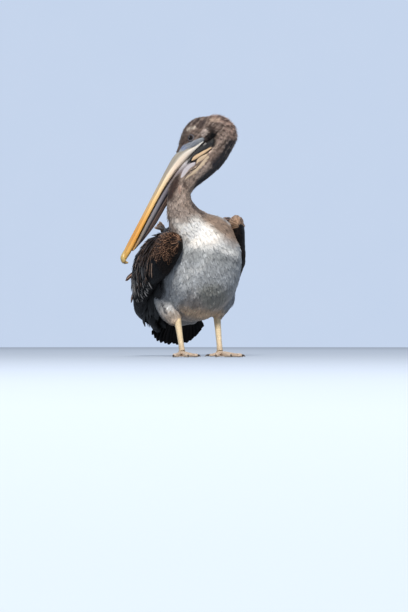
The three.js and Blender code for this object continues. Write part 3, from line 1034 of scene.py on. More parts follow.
def guide_samples() -> tuple[Array, Array, Array]:
    """The places, directions and reach of the lines that the plumage lies along.

    Returns:
        The places, the directions and the reach, one a row.
    """
    head = on_head(((0, -20, -12), (0, 30, -20), (0, 70, -32), (0, 100, -60)))
    neck = NECK_FORM.path.at(np.linspace(0.86, 0.12, 9))
    trunk = ((-6, -30, 232), (0, 42, 186), (-3, 100, 154), (-6, 150, 130), (-8, 230, 92))
    spine = Path(np.vstack([head, neck, trunk]))
    t = np.linspace(0, 1, SPINE_STEPS)
    places, ways = [spine.at(t)], [spine.way(t)]
    reach = [along_curve(REACH, t)]
    for thigh in THIGHS:
        low = np.linspace(0.3, 1, 20)
        places.append(thigh.path.at(low))
        ways.append(thigh.path.way(low))
        reach.append(along_curve(THIGH_REACH, low))
    return np.vstack(places), np.vstack(ways), np.concatenate(reach)


def lie(points: Array, normals: Array) -> Array:
    """The way the plumage lies at places on the skin, along the skin.

    Args:
        points: Places in bird millimetres, one a row.
        normals: Which way the skin faces there.

    Returns:
        A unit direction for each.
    """
    places, ways, reach = guide_samples()
    out = np.empty_like(points)
    for start in range(0, len(points), CHUNK):
        part = slice(start, start + CHUNK)
        away = np.linalg.norm(points[part, None] - places[None], axis=2) / reach
        share = np.exp(-(away**2 - away.min(axis=1, keepdims=True) ** 2) / 0.22)
        out[part] = share @ ways
    flat = out - normals * np.einsum("ij,ij->i", out, normals)[:, None]
    return unit(flat)


# ---------- Markings ----------
def layered(base: Array, mask: Array, code: int) -> Array:
    """A colour laid over others where the mask is."""
    return base + mask[:, None] * (np.array(linear(code)) - base)


def line_spot(points: Array, line: Sequence[Sequence[float]], radius: float) -> Array:
    """A soft band around a line of points.

    Args:
        points: Places in bird millimetres, one a row.
        line: The points of the line.
        radius: Where the band has faded out.

    Returns:
        The band's strength at each place.
    """
    ends = np.asarray(line, float)
    nearest = np.full(len(points), 1e9)
    for a, b in zip(ends[:-1], ends[1:]):
        along = np.clip((points - a) @ (b - a) / ((b - a) @ (b - a)), 0, 1)
        nearest = np.minimum(nearest, np.linalg.norm(points - a - along[:, None] * (b - a), axis=1))
    return 1 - ramp(0.35 * radius, radius, nearest)


WAVES = ((1.0, 1.7, -0.6), (-1.3, 0.5, 1.1), (0.4, -1.2, 1.6), (2.1, 0.8, -1.9))


def mottle(points: Array, size: float, seed: float = 0.0) -> Array:
    """Smooth blotches from 0 to 1, about so many millimetres across.

    Args:
        points: Places in bird millimetres, one a row.
        size: How large the blotches are.
        seed: Which blotches.

    Returns:
        A value for each place.
    """
    p = points / size + seed
    total = np.zeros(len(points))
    for turn, (a, b, c) in enumerate(WAVES):
        total += np.sin(a * p[:, 0] * 2.2 + b * p[:, 1] * 1.9 + c * p[:, 2] * 2.1 + turn * 1.7)
    return np.clip(total / 5 + 0.5, 0, 1)


def streaks(points: Array, across: float, along: float) -> Array:
    """Soft clumps from 0 to 1, drawn out down the body, so many millimetres wide and long.

    Args:
        points: Places in bird millimetres, one a row.
        across: How wide the clumps are.
        along: How long they are.

    Returns:
        A value for each place.
    """
    x, y, z = points.T
    p = np.stack([x / across, (y - z) / along, x / across + (y + z) / (2.4 * across)], axis=1)
    return mottle(p, 1.0, 3.7)


def head_side(points: Array) -> Array:
    """Places in the head's axes, with both sides of the head as one.

    Args:
        points: Places in bird millimetres, one a row.

    Returns:
        The places, one a row.
    """
    head = head_place(points)
    head[:, 0] = np.abs(head[:, 0])
    return head


@dataclass(frozen=True)
class Patch:
    """A patch of colour along a line, fading out at a radius."""

    line: tuple[tuple[float, float, float], ...]
    radius: float
    colour: int
    cover: float = 1.0

    def lay(self, base: Array, points: Array) -> Array:
        """The patch laid over colours at places.

        Args:
            base: The colours so far, one a row.
            points: Places in bird millimetres, one a row.

        Returns:
            The new colours.
        """
        if len(self.line) == 1:
            mask = near(points, self.line[0], self.radius)
        else:
            mask = line_spot(points, self.line, self.radius)
        return layered(base, mask * self.cover, self.colour)


BODY_PATCHES = (
    Patch(((-66, -138, 332), (-54, -130, 308), (-30, -124, 298), (-8, -126, 300)), 48, 0xF4EFE9),
    Patch(((-60, -134, 326), (-42, -126, 306), (-18, -126, 304)), 34, 0xFFFDFA),
    Patch(((-98, -104, 330), (-92, -112, 306)), 25, 0x8F7F76, 0.9),
    Patch(((-20, -124, 268), (-2, -124, 252), (-22, -112, 220), (-40, -104, 214)), 13, 0xE2E4E4, 0.5),
    Patch(((-12, -118, 342), (15, -123, 322), (42, -120, 304), (70, -98, 294)), 31, 0x86705F, 0.95),
    Patch(((30, -122, 284), (56, -118, 276)), 18, 0x9A8A80, 0.5),
    Patch(((20, -70, 340), (60, -64, 322)), 30, 0x3E322C, 0.9),
    Patch(((-76, -56, 316), (0, -46, 318), (60, -46, 310)), 42, 0x63554C, 0.92),
    Patch(((-60, 0, 298), (0, 0, 302), (60, 0, 294)), 48, 0x5E5048, 0.92),
    Patch(((-64, -112, 250), (-20, -124, 246), (20, -124, 244)), 20, 0x8C9092, 0.6),
    Patch(((30, -124, 232), (66, -110, 226)), 24, 0x8C9092, 0.45),
    Patch(((-52, -96, 208), (-52, -70, 172), (-62, -20, 145), (-66, 20, 130)), 20, 0xCDD1D4, 0.7),
    Patch(((24, -125, 262), (62, -110, 252)), 14, 0xEDEEEE, 0.8),
    Patch(((8, -80, 160), (30, -50, 140)), 44, 0x8F918B, 0.8),
    Patch(((-30, -8, 104), (-6, -10, 106), (38, 22, 104)), 40, 0xD8C0A6, 0.95),
    Patch(((-56, 22, 86), (-54, 26, 96)), 12, 0xC2AD98, 0.8),
    Patch(((-92, 30, 150), (-80, 26, 112)), 5, 0x3C4046, 0.8),
    Patch(((-84, 10, 150), (-70, 12, 118)), 3.5, 0x4B4F55, 0.7),
    # Painted shade: a blue-grey wash down the bird's left flank, the side turned away from the key light.
    Patch(((104, -10, 220), (102, 20, 180), (80, 20, 140)), 38, 0x868D97, 0.75),
)
NECK_PATCHES = (
    Patch(((-76, -150, 372), (-82, -149, 396), (-78, -146, 410)), 13, 0xA8968A, 0.8),
    Patch(((-97, -135, 366), (-90, -140, 346), (-72, -142, 336)), 26, 0xA3938A, 0.7),
    Patch(((-92, -136, 430), (-91, -141, 408), (-98, -134, 384)), 20, 0x38241C),
    Patch(((-79, -149, 404), (-80, -149, 388)), 5, 0x9C8072, 0.9),
    Patch(((-43, -126, 388), (-44, -126, 372), (-34, -122, 354)), 10, 0x362A26, 0.85),
    Patch(((-70, -146, 412), (-64, -146, 402)), 7, 0x43322B, 0.8),
    Patch(((-44, -126, 384), (-46, -134, 360), (-22, -112, 342)), 13, 0x4E413D, 0.8),
    # Partly the darker hindneck, partly painted shade: the next three navy-black bands run down the neck's
    # shaded side.
    Patch(
        ((48, -112, 516), (40, -114, 488), (18, -116, 463), (-6, -122, 441), (-26, -126, 424)),
        21,
        0x10111B,
    ),
    Patch(((-26, -126, 424), (-38, -124, 405), (-42, -126, 386)), 13, 0x14141D),
    Patch(((50, -82, 516), (42, -80, 488), (20, -78, 462), (-8, -88, 438), (-34, -100, 408)), 22, 0x12131D),
    Patch(((-3, -126, 457), (-16, -129, 446), (-34, -134, 430)), 11, 0x93837A, 0.8),
    Patch(((14, -118, 506), (4, -118, 494)), 9, 0xB09C8E, 0.8),
    Patch(((22, -120, 520), (34, -119, 534)), 16, 0x8F7D74, 0.7),
)
NAPE = ((14, -98, 576), (38, -98, 570), (56, -98, 552))
CROWN_PATCHES = (
    Patch(((26, 104, -50), (22, 96, -40)), 8, 0xB59E8C, 0.8),
    Patch(((13, 50, -5), (16, 56, -8), (20, 60, -13)), 5.5, 0xC4B9AC, 0.9),
    Patch(((11, 38, -6), (10, 30, -9)), 5, 0xA99A8C, 0.75),
    Patch(((27, 66, -37), (27, 59, -38)), 8.5, 0xCBBBB3, 0.92),
    Patch(((25, 71, -23), (21, 86, -26)), 6, 0x35292A, 0.8),
    Patch(((27, 78, -46), (26, 74, -52)), 9, 0x2C211D, 0.85),
    Patch(((20, 66, -60), (18, 60, -64), (18, 52, -68)), 15, 0x040405),
    Patch(((27, 66, -58), (27, 60, -64), (26, 54, -70)), 12, 0x040405),
    Patch(((24, 60, -52), (24, 58, -56)), 7, 0x0C0A0B, 0.9),
    Patch(((28, 44, -66), (28, 26, -66), (34, -4, -63), (38, -30, -58)), 9, 0xC3AF98, 0.85),
)


def marking(points: Array) -> Array:
    """The plumage's colour at places on the bird, with painted shade laid in on the shaded sides of the neck
    and the body.

    Args:
        points: Places in bird millimetres.

    Returns:
        A colour for each.
    """
    x, y, z = points.T
    side = head_side(points)
    base = plain(0xB2B7BC, points)
    base = layered(base, (1 - ramp(95, 165, z + 0.25 * y)) * 0.9, 0xA99888)
    base = layered(base, ramp(120, 185, y), 0xA2A1A0)
    base = layered(base, ramp(66, 104, np.abs(x)) * 0.6, 0x969BA1)
    for patch in BODY_PATCHES:
        base = patch.lay(base, points)
    back = ramp(-20, 40, y + 0.75 * z - 235 + 0.3 * np.abs(x))
    base = layered(base, back * ramp(200, 235, z + 0.5 * y), 0x5E5048)
    base = layered(base, ramp(322, 352, z - 0.12 * x), 0x8E7C70)
    base = layered(base, ramp(430, 470, z) * 0.9, 0x705E55)
    for patch in NECK_PATCHES:
        base = patch.lay(base, points)
    base = layered(base, line_spot(points, NAPE, 42), 0xA0857A)
    on_skull = ramp(486, 520, z + 0.3 * x)
    base = layered(base, line_spot(side, ((0, 20, 0), (0, 60, 4), (0, 84, -8)), 34) * 0.9, 0x5E4F49)
    fine = mottle(points, 6.0, 1.3)
    base = layered(base, on_skull * ramp(0.55, 0.85, fine) * 0.75, 0x2B211E)
    base = layered(base, on_skull * ramp(0.4, 0.15, fine) * 0.5, 0x9A8B82)
    for patch in CROWN_PATCHES:
        base = patch.lay(base, side)
    scaly = ramp(345, 365, z) * (1 - on_skull) * ramp(0.6, 0.85, mottle(points, 5.0, 2.2))
    return layered(base, scaly * 0.55, 0x35271F)


def bare(points: Array) -> Array:
    """How bare the face is, from 0 under feathers to 1 on the naked skin before and under the eye.

    Args:
        points: Places in bird millimetres, one a row.

    Returns:
        A value for each place.
    """
    side = head_side(points)
    line = ((12, -6, -10), (15, 10, -14), (20, 24, -25), (22, 36, -35), (21, 45, -43))
    lores = line_spot(side, line, 10.0)
    ring = near(side, (23, EYE_AT[1], EYE_AT[2]), 11)
    return np.maximum(ramp(0.1, 0.55, lores), ramp(0.1, 0.5, ring))


def bare_colour(points: Array, base: Array) -> Array:
    """The marking with the naked skin's own blue-greys laid in.

    Args:
        points: Places in bird millimetres, one a row.
        base: The colours so far, one a row.

    Returns:
        The new colours.
    """
    side = head_side(points)
    cover = bare(points)
    base = layered(base, cover, 0x858C99)
    base = layered(base, near(side, (18, 9, -12), 12) * cover, 0x5F7099)
    base = layered(base, near(side, (22, 44, -40), 13) * cover, 0xABB2B8)
    base = layered(base, near(side, (14, -4, -12), 10) * cover * 0.8, 0x8E907F)
    blotch = mottle(points, 2.6, 5.1)
    base = layered(base, cover * ramp(0.5, 0.7, blotch) * 0.5, 0xA9AFB6)
    base = layered(base, cover * ramp(0.4, 0.2, blotch) * 0.4, 0x59606F)
    base = layered(base, near(side, (22, EYE_AT[1], EYE_AT[2]), 11.0) * 0.9, 0x8B8583)
    return layered(base, near(side, (24, EYE_AT[1] + 5, EYE_AT[2] - 1), 8.0) * 0.9, 0x1A1924)


@dataclass(frozen=True)
class Fold:
    """One soft ridge behind the gape, either a fold of skin or a dark strip of painted shade in a crease:
    where it runs on the side of the head, and its size.
    """

    points: tuple[tuple[float, float, float], ...]
    half_widths: tuple[float, ...]
    height: float
    colour: int
    # The colour at the ridge's rims, darker than the crest: painted shade where the fold meets the skin.
    edge: int


FOLDS = (
    # Painted shadow: a black strip in the gap at the mouth's corner, under the upper jaw.
    Fold(
        ((17, 53, -66), (20, 42, -59), (21.5, 26, -51), (22, 10, -43.5), (21, -8, -39), (20, -22, -36)),
        (5.5, 7.0, 6.0, 4.0, 2.4, 1.0),
        1.0,
        0x040506,
        0x060606,
    ),
    Fold(
        ((17, 45, -73), (20, 29, -63), (23, 13, -53.4), (24, 0, -46), (23, -10, -42)),
        (2.2, 3.6, 4.4, 4.6, 2.2),
        2.6,
        0xCFB28E,
        0x836B52,
    ),
    # Painted shade: a thin dark strip in the groove between the cream folds on either side of it.
    Fold(((18, 34, -71), (21, 11.5, -60)), (0.8, 0.8), 1.0, 0x33271F, 0x33271F),
    Fold(
        ((19, 26, -71.5), (21, 12, -64), (22, 2, -58.5), (25, -11, -56)),
        (2.6, 5.0, 5.4, 3.4),
        1.8,
        0xC4AE93,
        0x988470,
    ),
    Fold(
        ((25, -9, -52), (26, -24, -46), (28, -42, -40.5), (36, -62, -36)),
        (3.6, 7.6, 8.6, 4.2),
        2.0,
        0xB9B4BB,
        0x857F88,
    ),
    # Painted shade: a black-brown strip in the crevice between the folds.
    Fold(
        ((26, -3, -63), (31, -17, -60.3), (35, -33.5, -50.5), (41, -56, -41)),
        (0.7, 1.6, 1.7, 0.8),
        1.4,
        0x100D0C,
        0x181412,
    ),
    Fold(
        ((20, 26, -75), (25, 7, -72), (31, -13, -67), (37, -34, -58), (42, -50, -49.5), (45, -61, -45)),
        (3.2, 5.8, 5.4, 3.8, 2.8, 1.4),
        1.6,
        0xB9A68F,
        0x877666,
    ),
)


# ---------- Skin and coat ----------
@dataclass
class Skin:
    """One seamless skin under the whole coat, smallest depth on the face."""

    voxel: float = 2.3
    coat_depth: float = 5.0
    wing_depth: float = 6.0
    thigh_depth: float = 3.0
    head_depth: float = 2.4
    face_depth: float = 1.0
    finish: SkinFinish = SkinFinish("bare_skin")

    def form(self, sweep: Sweep, depth: float, on: Callable[[Array], Array] | None = None) -> Piece:
        """One swept form, shrunk by a depth.

        Args:
            sweep: The form.
            depth: How far under it the skin lies.
            on: Turns its places into the bird's frame.

        Returns:
            The closed form.
        """

        def placing(along: Array, angle: Array) -> Array:
            """The form's surface, sunk by the depth."""
            places = sweep.surface(along, angle, -depth)
            return on(places) if on else places

        return tube(56, 40, placing)

    def build(self) -> Piece:
        """Models the skin.

        Returns:
            The skin, dressed and fixed.
        """
        forms = [self.form(s, self.coat_depth) for s in (BELLY, MANTLE, NECK_FORM)]
        forms += [self.form(s, self.thigh_depth) for s in THIGHS]
        forms += [self.form(s, self.wing_depth) for s in WING_FORMS]
        forms.append(self.form(SKULL, self.head_depth, on_head))
        skin = merged("skin", forms)
        remesh = skin.modifiers.new("one_skin", "REMESH")
        remesh.mode = "VOXEL"
        remesh.voxel_size = self.voxel * MM
        smooth = skin.modifiers.new("soften", "SMOOTH")
        smooth.factor = 0.6
        smooth.iterations = 6
        lone(skin)
        bpy.ops.object.modifier_apply(modifier="one_skin")
        bpy.ops.object.modifier_apply(modifier="soften")
        self.shape_face(skin)
        bpy.ops.object.shade_smooth()
        points = to_bird(per_vertex(skin.data))
        base = bare_colour(points, marking(points) * 0.8)
        clear = BELLY.inside(points, -2) | (points[:, 2] > 345)
        under_wing = within(WING_FORMS, points, -2) & ~clear
        store(skin.data, "Marking", layered(base, under_wing.astype(float), 0x1B1715))
        part = Part("skin", FLESH_NODES, "pale_plumage", self.finish.material())
        return part.settle(skin)

    def shape_face(self, skin: Piece) -> None:
        """Brings the naked skin up to the surface and sinks a socket for each eye.

        Args:
            skin: The skin.
        """
        mesh = skin.data
        normals = per_vertex(mesh, "normal")
        points = to_bird(per_vertex(mesh))
        side = head_side(points)
        raise_by = bare(points) * (self.head_depth - self.face_depth)
        socket = near(side, (24, EYE_AT[1], EYE_AT[2]), 11) * 4.2
        brow = near(side, (23, EYE_AT[1] + 4, EYE_AT[2] + 11), 11) * 2.0
        hollow = near(side, (19, 14, -16), 12) * 1.8
        shift = raise_by - socket + brow - hollow
        set_coordinates(mesh, to_model(points + normals * shift[:, None]))


FLESH_NODES = ("head", "neck_lower", "neck_middle", "neck_upper", "thigh_left", "thigh_right", "trunk")


@dataclass(frozen=True)
class Plume:
    """How the small feathers of one part of the body are."""

    name: str
    spacing: float
    length: float
    width: float
    lift: float
    ruffle: float = 0.25
    tip: float = 0.4
    fringe: float = 0.25
    vary: float = 0.16
    slot: str = "pale_plumage"


def feather_mesh(name: str, places: Array, colours: dict[str, Array], vane: Array, home: Array) -> Piece:
    """A mesh of many feathers, each a small grid of places.

    Args:
        name: The object's name.
        places: Bird millimetres, by feather, row and column.
        colours: Named colours for the same places.
        vane: Each place's across and along values within its feather.
        home: Each place's spot on the baking map.

    Returns:
        The object.
    """
    count, rows, columns, _ = places.shape
    corner = np.arange(rows * columns).reshape(rows, columns)
    around = [corner[:-1, :-1], corner[:-1, 1:], corner[1:, 1:], corner[1:, :-1]]
    quad = np.stack(around, axis=-1).reshape(-1, 4)
    faces = (quad[None] + np.arange(count)[:, None, None] * rows * columns).reshape(-1, 4)
    mesh = bpy.data.meshes.new(name)
    mesh.vertices.add(count * rows * columns)
    mesh.vertices.foreach_set("co", to_model(places.reshape(-1, 3)).ravel())
    mesh.loops.add(faces.size)
    mesh.loops.foreach_set("vertex_index", faces.ravel().astype(np.int32))
    mesh.polygons.add(len(faces))
    mesh.polygons.foreach_set("loop_start", np.arange(0, faces.size, 4, dtype=np.int32))
    mesh.update(calc_edges=True)
    for key, values in (("OFBake", home), ("Vane", vane)):
        layer = mesh.uv_layers.new(name=key)
        layer.data.foreach_set("uv", values.reshape(-1, 2)[faces.ravel()].astype(np.float32).ravel())
    for key, values in colours.items():
        store(mesh, key, values.reshape(-1, 3))
    piece = bpy.data.objects.new(name, mesh)
    bpy.context.collection.objects.link(piece)
    lone(piece)
    bpy.ops.object.shade_smooth()
    return piece


PATCH = 0.003
MARGIN = 0.02


def skin_unwrap(points: Array) -> Array:
    """An unwrap of the skin's own shape: how far along the body, and the angle round it.

    Args:
        points: Places in bird millimetres, one a row.

    Returns:
        Two values from 0 to 1 for each place.
    """
    places, ways, _ = guide_samples()
    out = np.empty((len(points), 2))
    for start in range(0, len(points), CHUNK):
        part = points[start : start + CHUNK]
        nearest = np.argmin(np.linalg.norm(part[:, None] - places[None, :SPINE_STEPS], axis=2), axis=1)
        way = ways[nearest]
        side = unit(np.cross(np.tile((0.02, 1.0, 0.0), (len(part), 1)), way))
        rise = np.cross(way, side)
        off = part - places[nearest]
        angle = np.arctan2(np.einsum("ij,ij->i", off, rise), np.einsum("ij,ij->i", off, side))
        along = nearest / (SPINE_STEPS - 1) + np.einsum("ij,ij->i", off, way) * 0.0005
        out[start : start + CHUNK, 0] = angle / (2 * math.pi) + 0.5
        out[start : start + CHUNK, 1] = np.clip(along, 0, 1)
    return MARGIN + (1 - 2 * MARGIN) * out


CELLS = 4001
THIGH_TOP = 150.0
COLLAR = 336.0
CHIN = 500.0


@dataclass
class Coat:
    """The small feathers over the skin, piece by piece."""

    skin: Piece
    seed: int = 11
    sites: int = 520000
    rows: tuple[float, ...] = (0.0, 0.45, 0.8, 1.0)
    widths: tuple[float, ...] = (0.55, 1.0, 0.82)
    sunk: float = 0.4
    camber: float = 0.22
    finish: CoatFinish = CoatFinish("small_feathers")
    plumes: tuple[Plume, ...] = (
        Plume("coat_face", 1.5, 5.0, 1.9, 0.8, fringe=0.3, tip=0.4, slot="brown_plumage"),
        Plume("coat_head", 1.9, 10.0, 2.2, 3.4, ruffle=0.8, tip=0.2, fringe=0.3, slot="brown_plumage"),
        Plume("coat_neck", 2.4, 11.0, 3.4, 2.8, ruffle=0.5, fringe=0.5, slot="brown_plumage"),
        Plume("coat_breast", 2.9, 19.0, 4.6, 3.2, ruffle=0.35, fringe=0.2, tip=0.25, vary=0.06),
        Plume("coat_belly", 3.1, 24.0, 4.6, 3.2, ruffle=0.35, fringe=0.2, tip=0.2, vary=0.1),
        Plume("coat_back", 4.4, 24.0, 9.0, 3.4, ruffle=0.2, tip=0.55, fringe=0.6),
        Plume("coat_thighs", 2.8, 16.0, 4.2, 2.4, ruffle=0.35, tip=0.2, fringe=0.2, vary=0.1),
    )

    def scatter(self) -> tuple[Array, Array]:
        """Many random places on the skin with their normals, always the same ones.

        Returns:
            The places and the normals, one a row.
        """
        mesh = self.skin.data
        mesh.calc_loop_triangles()
        corners = np.empty(len(mesh.loop_triangles) * 3, dtype=np.int32)
        mesh.loop_triangles.foreach_get("vertices", corners)
        corners = corners.reshape(-1, 3)
        points = to_bird(per_vertex(mesh))
        normals = per_vertex(mesh, "normal")
        a, b, c = (points[corners[:, k]] for k in range(3))
        area = np.linalg.norm(np.cross(b - a, c - a), axis=1) / 2
        draw = np.random.default_rng(self.seed)
        chosen = draw.choice(len(area), size=self.sites, p=area / area.sum())
        r1, r2 = np.sqrt(draw.random(len(chosen))), draw.random(len(chosen))
        shares = np.stack([1 - r1, r1 * (1 - r2), r1 * r2], axis=1)
        places = np.einsum("nk,nkc->nc", shares, points[corners[chosen]])
        facing = unit(np.einsum("nk,nkc->nc", shares, normals[corners[chosen]]))
        return places, facing

    def regions(self, points: Array) -> list[Array]:
        """Which places belong to each of the plumes.

        Args:
            points: Places in bird millimetres, one a row.

        Returns:
            A mask for each plume.
        """
        head = head_place(points)
        on_skull = SKULL.inside(head, 7) & (head[:, 1] < 92)
        face = on_skull & (head[:, 1] < 56) & (head[:, 2] > -60) & (head[:, 2] < -11)
        z, y = points[:, 2], points[:, 1]
        thigh = within(THIGHS, points, 4) & (z < THIGH_TOP)
        top = (z > CHIN) & ~face
        neck = (z > COLLAR) & ~top & ~face
        above = y * 0.54 + z * 0.84 - 222
        back = (above > 0) & (y > -60) & (z <= COLLAR)
        breast = (z + 0.3 * y > 215) & ~neck & ~top & ~face & ~back
        belly = ~(face | top | neck | breast | back | thigh)
        under_wing = within(WING_FORMS, points, -1) & (z <= COLLAR)
        covered = under_wing | (bare(points) >= 0.35) | self.folded(points)
        masks = [face, top, neck, breast & ~thigh, belly, back & ~thigh, thigh]
        return [mask & ~covered for mask in masks]

    def folded(self, points: Array) -> Array:
        """Which places lie under the naked folds behind the gape.

        Args:
            points: Places in bird millimetres, one a row.

        Returns:
            True for each place under a fold.
        """
        side = head_side(points)
        flat = side * (0, 1, 1)
        under = np.zeros(len(points), bool)
        for fold in FOLDS:
            line = [(0, y, z) for _, y, z in fold.points]
            under |= line_spot(flat, line, max(fold.half_widths) + 0.6) > 0.35
        return under & (side[:, 0] > 12) & (points[:, 2] > 400)

    def build(self) -> list[Piece]:
        """Models every plume.

        Returns:
            The coat's pieces.
        """
        points, normals = self.scatter()
        tree = BVHTree.FromObject(self.skin, bpy.context.evaluated_depsgraph_get())
        material = self.finish.material()
        pieces = []
        for plume, mask in zip(self.plumes, self.regions(points)):
            spots, facing = points[mask], normals[mask]
            cell = np.floor(spots / plume.spacing).astype(np.int64)
            key = cell @ np.array((1, CELLS, CELLS**2))
            _, first = np.unique(key, return_index=True)
            piece = self.grow(plume, spots[first], facing[first], tree)
            pieces.append(Part(plume.name, (), plume.slot, material).settle(piece))
        return pieces

    def grow(self, plume: Plume, roots: Array, normals: Array, tree: BVHTree) -> Piece:
        """Models one plume's feathers from their roots.

        Args:
            plume: How the feathers are.
            roots: Where they stand, in bird millimetres.
            normals: Which way the skin faces there.
            tree: The skin, to lay them along.

        Returns:
            The joined feathers.
        """
        draw = np.random.default_rng(len(roots))
        count = len(roots)
        way = lie(roots, normals)
        side = np.cross(normals, way)
        stray = draw.normal(0, 0.16, count)[:, None]
        way = unit(way + side * stray)
        shaggy = self.shaggy(roots)
        length = plume.length * (0.8 + 0.4 * draw.random(count)) * (1 + 0.75 * shaggy)
        middle, half_up = self.snapped(tree, roots + way * (length * 0.5)[:, None])
        end, end_up = self.snapped(tree, roots + way * length[:, None])
        share = np.array(self.rows)
        v = share[None, :, None]
        p0, p1, p2 = roots[:, None], middle[:, None], end[:, None]
        spine = p0 * (1 - v) * (1 - 2 * v) + p1 * 4 * v * (1 - v) + p2 * v * (2 * v - 1)
        up = unit(normals[:, None] * (1 - v) + end_up[:, None] * v + half_up[:, None] * v * (1 - v))
        tangent = unit(np.gradient(spine, axis=1))
        across = unit(np.cross(up, tangent))
        rise = plume.lift * (0.5 + 0.7 * draw.random(count))
        stand = plume.ruffle * plume.lift * (draw.random(count) ** 3) + shaggy * 6.5 * draw.random(count)
        height = (rise[:, None] * share**0.8 + stand[:, None] * share**2) - self.sunk
        centre = spine + up * height[..., None]
        size = plume.width / 2 * (0.85 + 0.3 * draw.random(count))
        half = size[:, None] * np.array((*self.widths, plume.tip)) * (1 - 0.35 * shaggy[:, None])
        s = np.array((-1.0, 0.0, 1.0))
        twist = draw.normal(0, 0.12, count)[:, None, None, None]
        sideways = (half[:, :, None] * s)[..., None]
        places = (
            centre[:, :, None]
            + across[:, :, None] * sideways
            + up[:, :, None] * (half[:, :, None] * self.camber * (1 - s**2))[..., None]
            + up[:, :, None] * sideways * twist
        )
        colours = self.colours(plume, middle, draw)
        vane = np.empty((count, len(self.rows), 3, 2))
        vane[..., 0] = (s / 2 + 0.5)[None, None]
        vane[..., 1] = v[..., 0, None]
        home = skin_unwrap(roots)[:, None, None, :] + (vane - 0.5) * PATCH
        return feather_mesh(plume.name, places, {"Marking": colours}, vane, home)

    def snapped(self, tree: BVHTree, places: Array) -> tuple[Array, Array]:
        """The nearest places on the skin, and which way it faces there."""
        hits = [tree.find_nearest(Vector(place)) for place in to_model(places)]
        return to_bird(np.array([hit[0] for hit in hits])), np.array([hit[1] for hit in hits])

    def shaggy(self, roots: Array) -> Array:
        """How much the feathers stand loose: most on the nape, a little at the neck's foot.

        Args:
            roots: Where the feathers stand, in bird millimetres.

        Returns:
            A value from 0 to 1 for each.
        """
        nape = line_spot(roots, NAPE, 36) * 0.9
        flank = line_spot(roots, ((106, -20, 214), (106, 20, 190), (96, 30, 160)), 34) * 0.5
        foot = line_spot(roots, ((-104, -112, 344), (-100, -106, 318)), 22) * 0.8
        return np.maximum(np.maximum(nape, flank), foot)

    def colours(self, plume: Plume, roots: Array, draw: np.random.Generator) -> Array:
        """Each feather's colours: darker at the root, paler at the fringe, and varied.

        Args:
            plume: How the feathers are.
            roots: Where they stand.
            draw: The random numbers.

        Returns:
            A colour for each feather, row and column.
        """
        count = len(roots)
        base = marking(roots)
        z = roots[:, 2]
        trunk = 1 - ramp(315, 345, z)
        clump = trunk * (streaks(roots, 7.0, 26.0) - 0.5) * 0.55
        clump = clump + (1 - trunk) * (mottle(roots, 9.0) - 0.5) * 0.5
        white = near(roots, (-36, -128, 300), 70)
        shade = 1 + plume.vary * draw.normal(0, 1, count) + clump * (1 - 0.6 * white)
        base = base * np.clip(shade, 0.4, 1.7)[:, None]
        speck = draw.random(count)
        fleck = (speck < 0.05 * white + 0.012)[:, None]
        base = np.where(fleck, base * 0.55, base)
        bright = ((speck > 0.93) & (z < 250))[:, None]
        base = np.minimum(np.where(bright, base * 1.35 + 0.04, base), 0.93)
        light = np.minimum(1.6 * base.mean(axis=1, keepdims=True), 1)
        fringe = base + (1 - base) * 0.5 * plume.fringe * light
        rows = np.array((0.68, 0.9, 1.0, 1.0))[None, :, None, None]
        edge = np.array(((0, 0, 0), (0.2, 0, 0.2), (0.6, 0.15, 0.6), (1, 0.9, 1)))[None, :, :, None]
        body = base[:, None, None] * rows
        return body + edge * (fringe[:, None, None] - body) * 0.9


# ---------- Large feathers ----------
class Side(Enum):
    """A side of the bird, with its sign along X."""

    LEFT = 1
    RIGHT = -1

    @property
    def word(self) -> str:
        """The side's name in lower case."""
        return self.name.lower()


VANE_ROWS = 9
VANE_COLUMNS = 5
WING_SEED = 31
SHOULDER_SEED = 51
TAIL_SEED = 71


def vane_width(v: Array) -> Array:
    """How wide a large feather is along its length, as a share of its widest.

    Args:
        v: How far along the feather, from 0 to 1.

    Returns:
        The share for each.
    """
    growing = np.minimum(1, 0.34 + 2.4 * v)
    end = np.clip((v - 0.72) / 0.28, 0, 1)
    return growing * np.sqrt(np.maximum(1 - 0.985 * end**2.4, 0))


@dataclass(frozen=True)
class FeatherTone:
    """The colours of a kind of large feather."""

    middle: int
    fringe: int
    shaft: int
    vary: float = 0.14


@dataclass
class FeatherSet:
    """Large feathers gathered into one piece."""

    places: list[Array] = field(default_factory=list)
    tones: list[Array] = field(default_factory=list)

    def add(self, places: Array, tone: FeatherTone, draw: np.random.Generator) -> None:
        """Adds feathers of one tone.

        Args:
            places: Bird millimetres, by feather, row and column.
            tone: Their colours.
            draw: The random numbers that vary them.
        """
        count = len(places)
        shade = 1 + tone.vary * draw.normal(0, 1, (count, 1))
        colours = paint((tone.middle, tone.fringe, tone.shaft))[None] * np.clip(shade, 0.4, 1.7)[..., None]
        self.places.append(places)
        self.tones.append(colours)

    def build(self, part: Part) -> Piece:
        """Models the feathers.

        Args:
            part: What the piece is.

        Returns:
            The joined feathers.
        """
        places = np.concatenate(self.places)
        tones = np.concatenate(self.tones)
        count, rows, columns, _ = places.shape
        vane = np.empty((count, rows, columns, 2))
        vane[..., 0] = np.linspace(0, 1, columns)[None, None]
        vane[..., 1] = np.linspace(0, 1, rows)[None, :, None]
        cells = math.ceil(math.sqrt(count))
        corner = np.stack([np.arange(count) % cells, np.arange(count) // cells], axis=1)[:, None, None]
        home = (corner + 0.06 + 0.88 * vane) / cells
        full = np.broadcast_to(tones[:, None, None], (count, rows, columns, 3, 3))
        named = {key: full[..., k, :] for k, key in enumerate(("Marking", "Fringe", "Shaft"))}
        return part.settle(feather_mesh(part.name, places, named, vane, home))


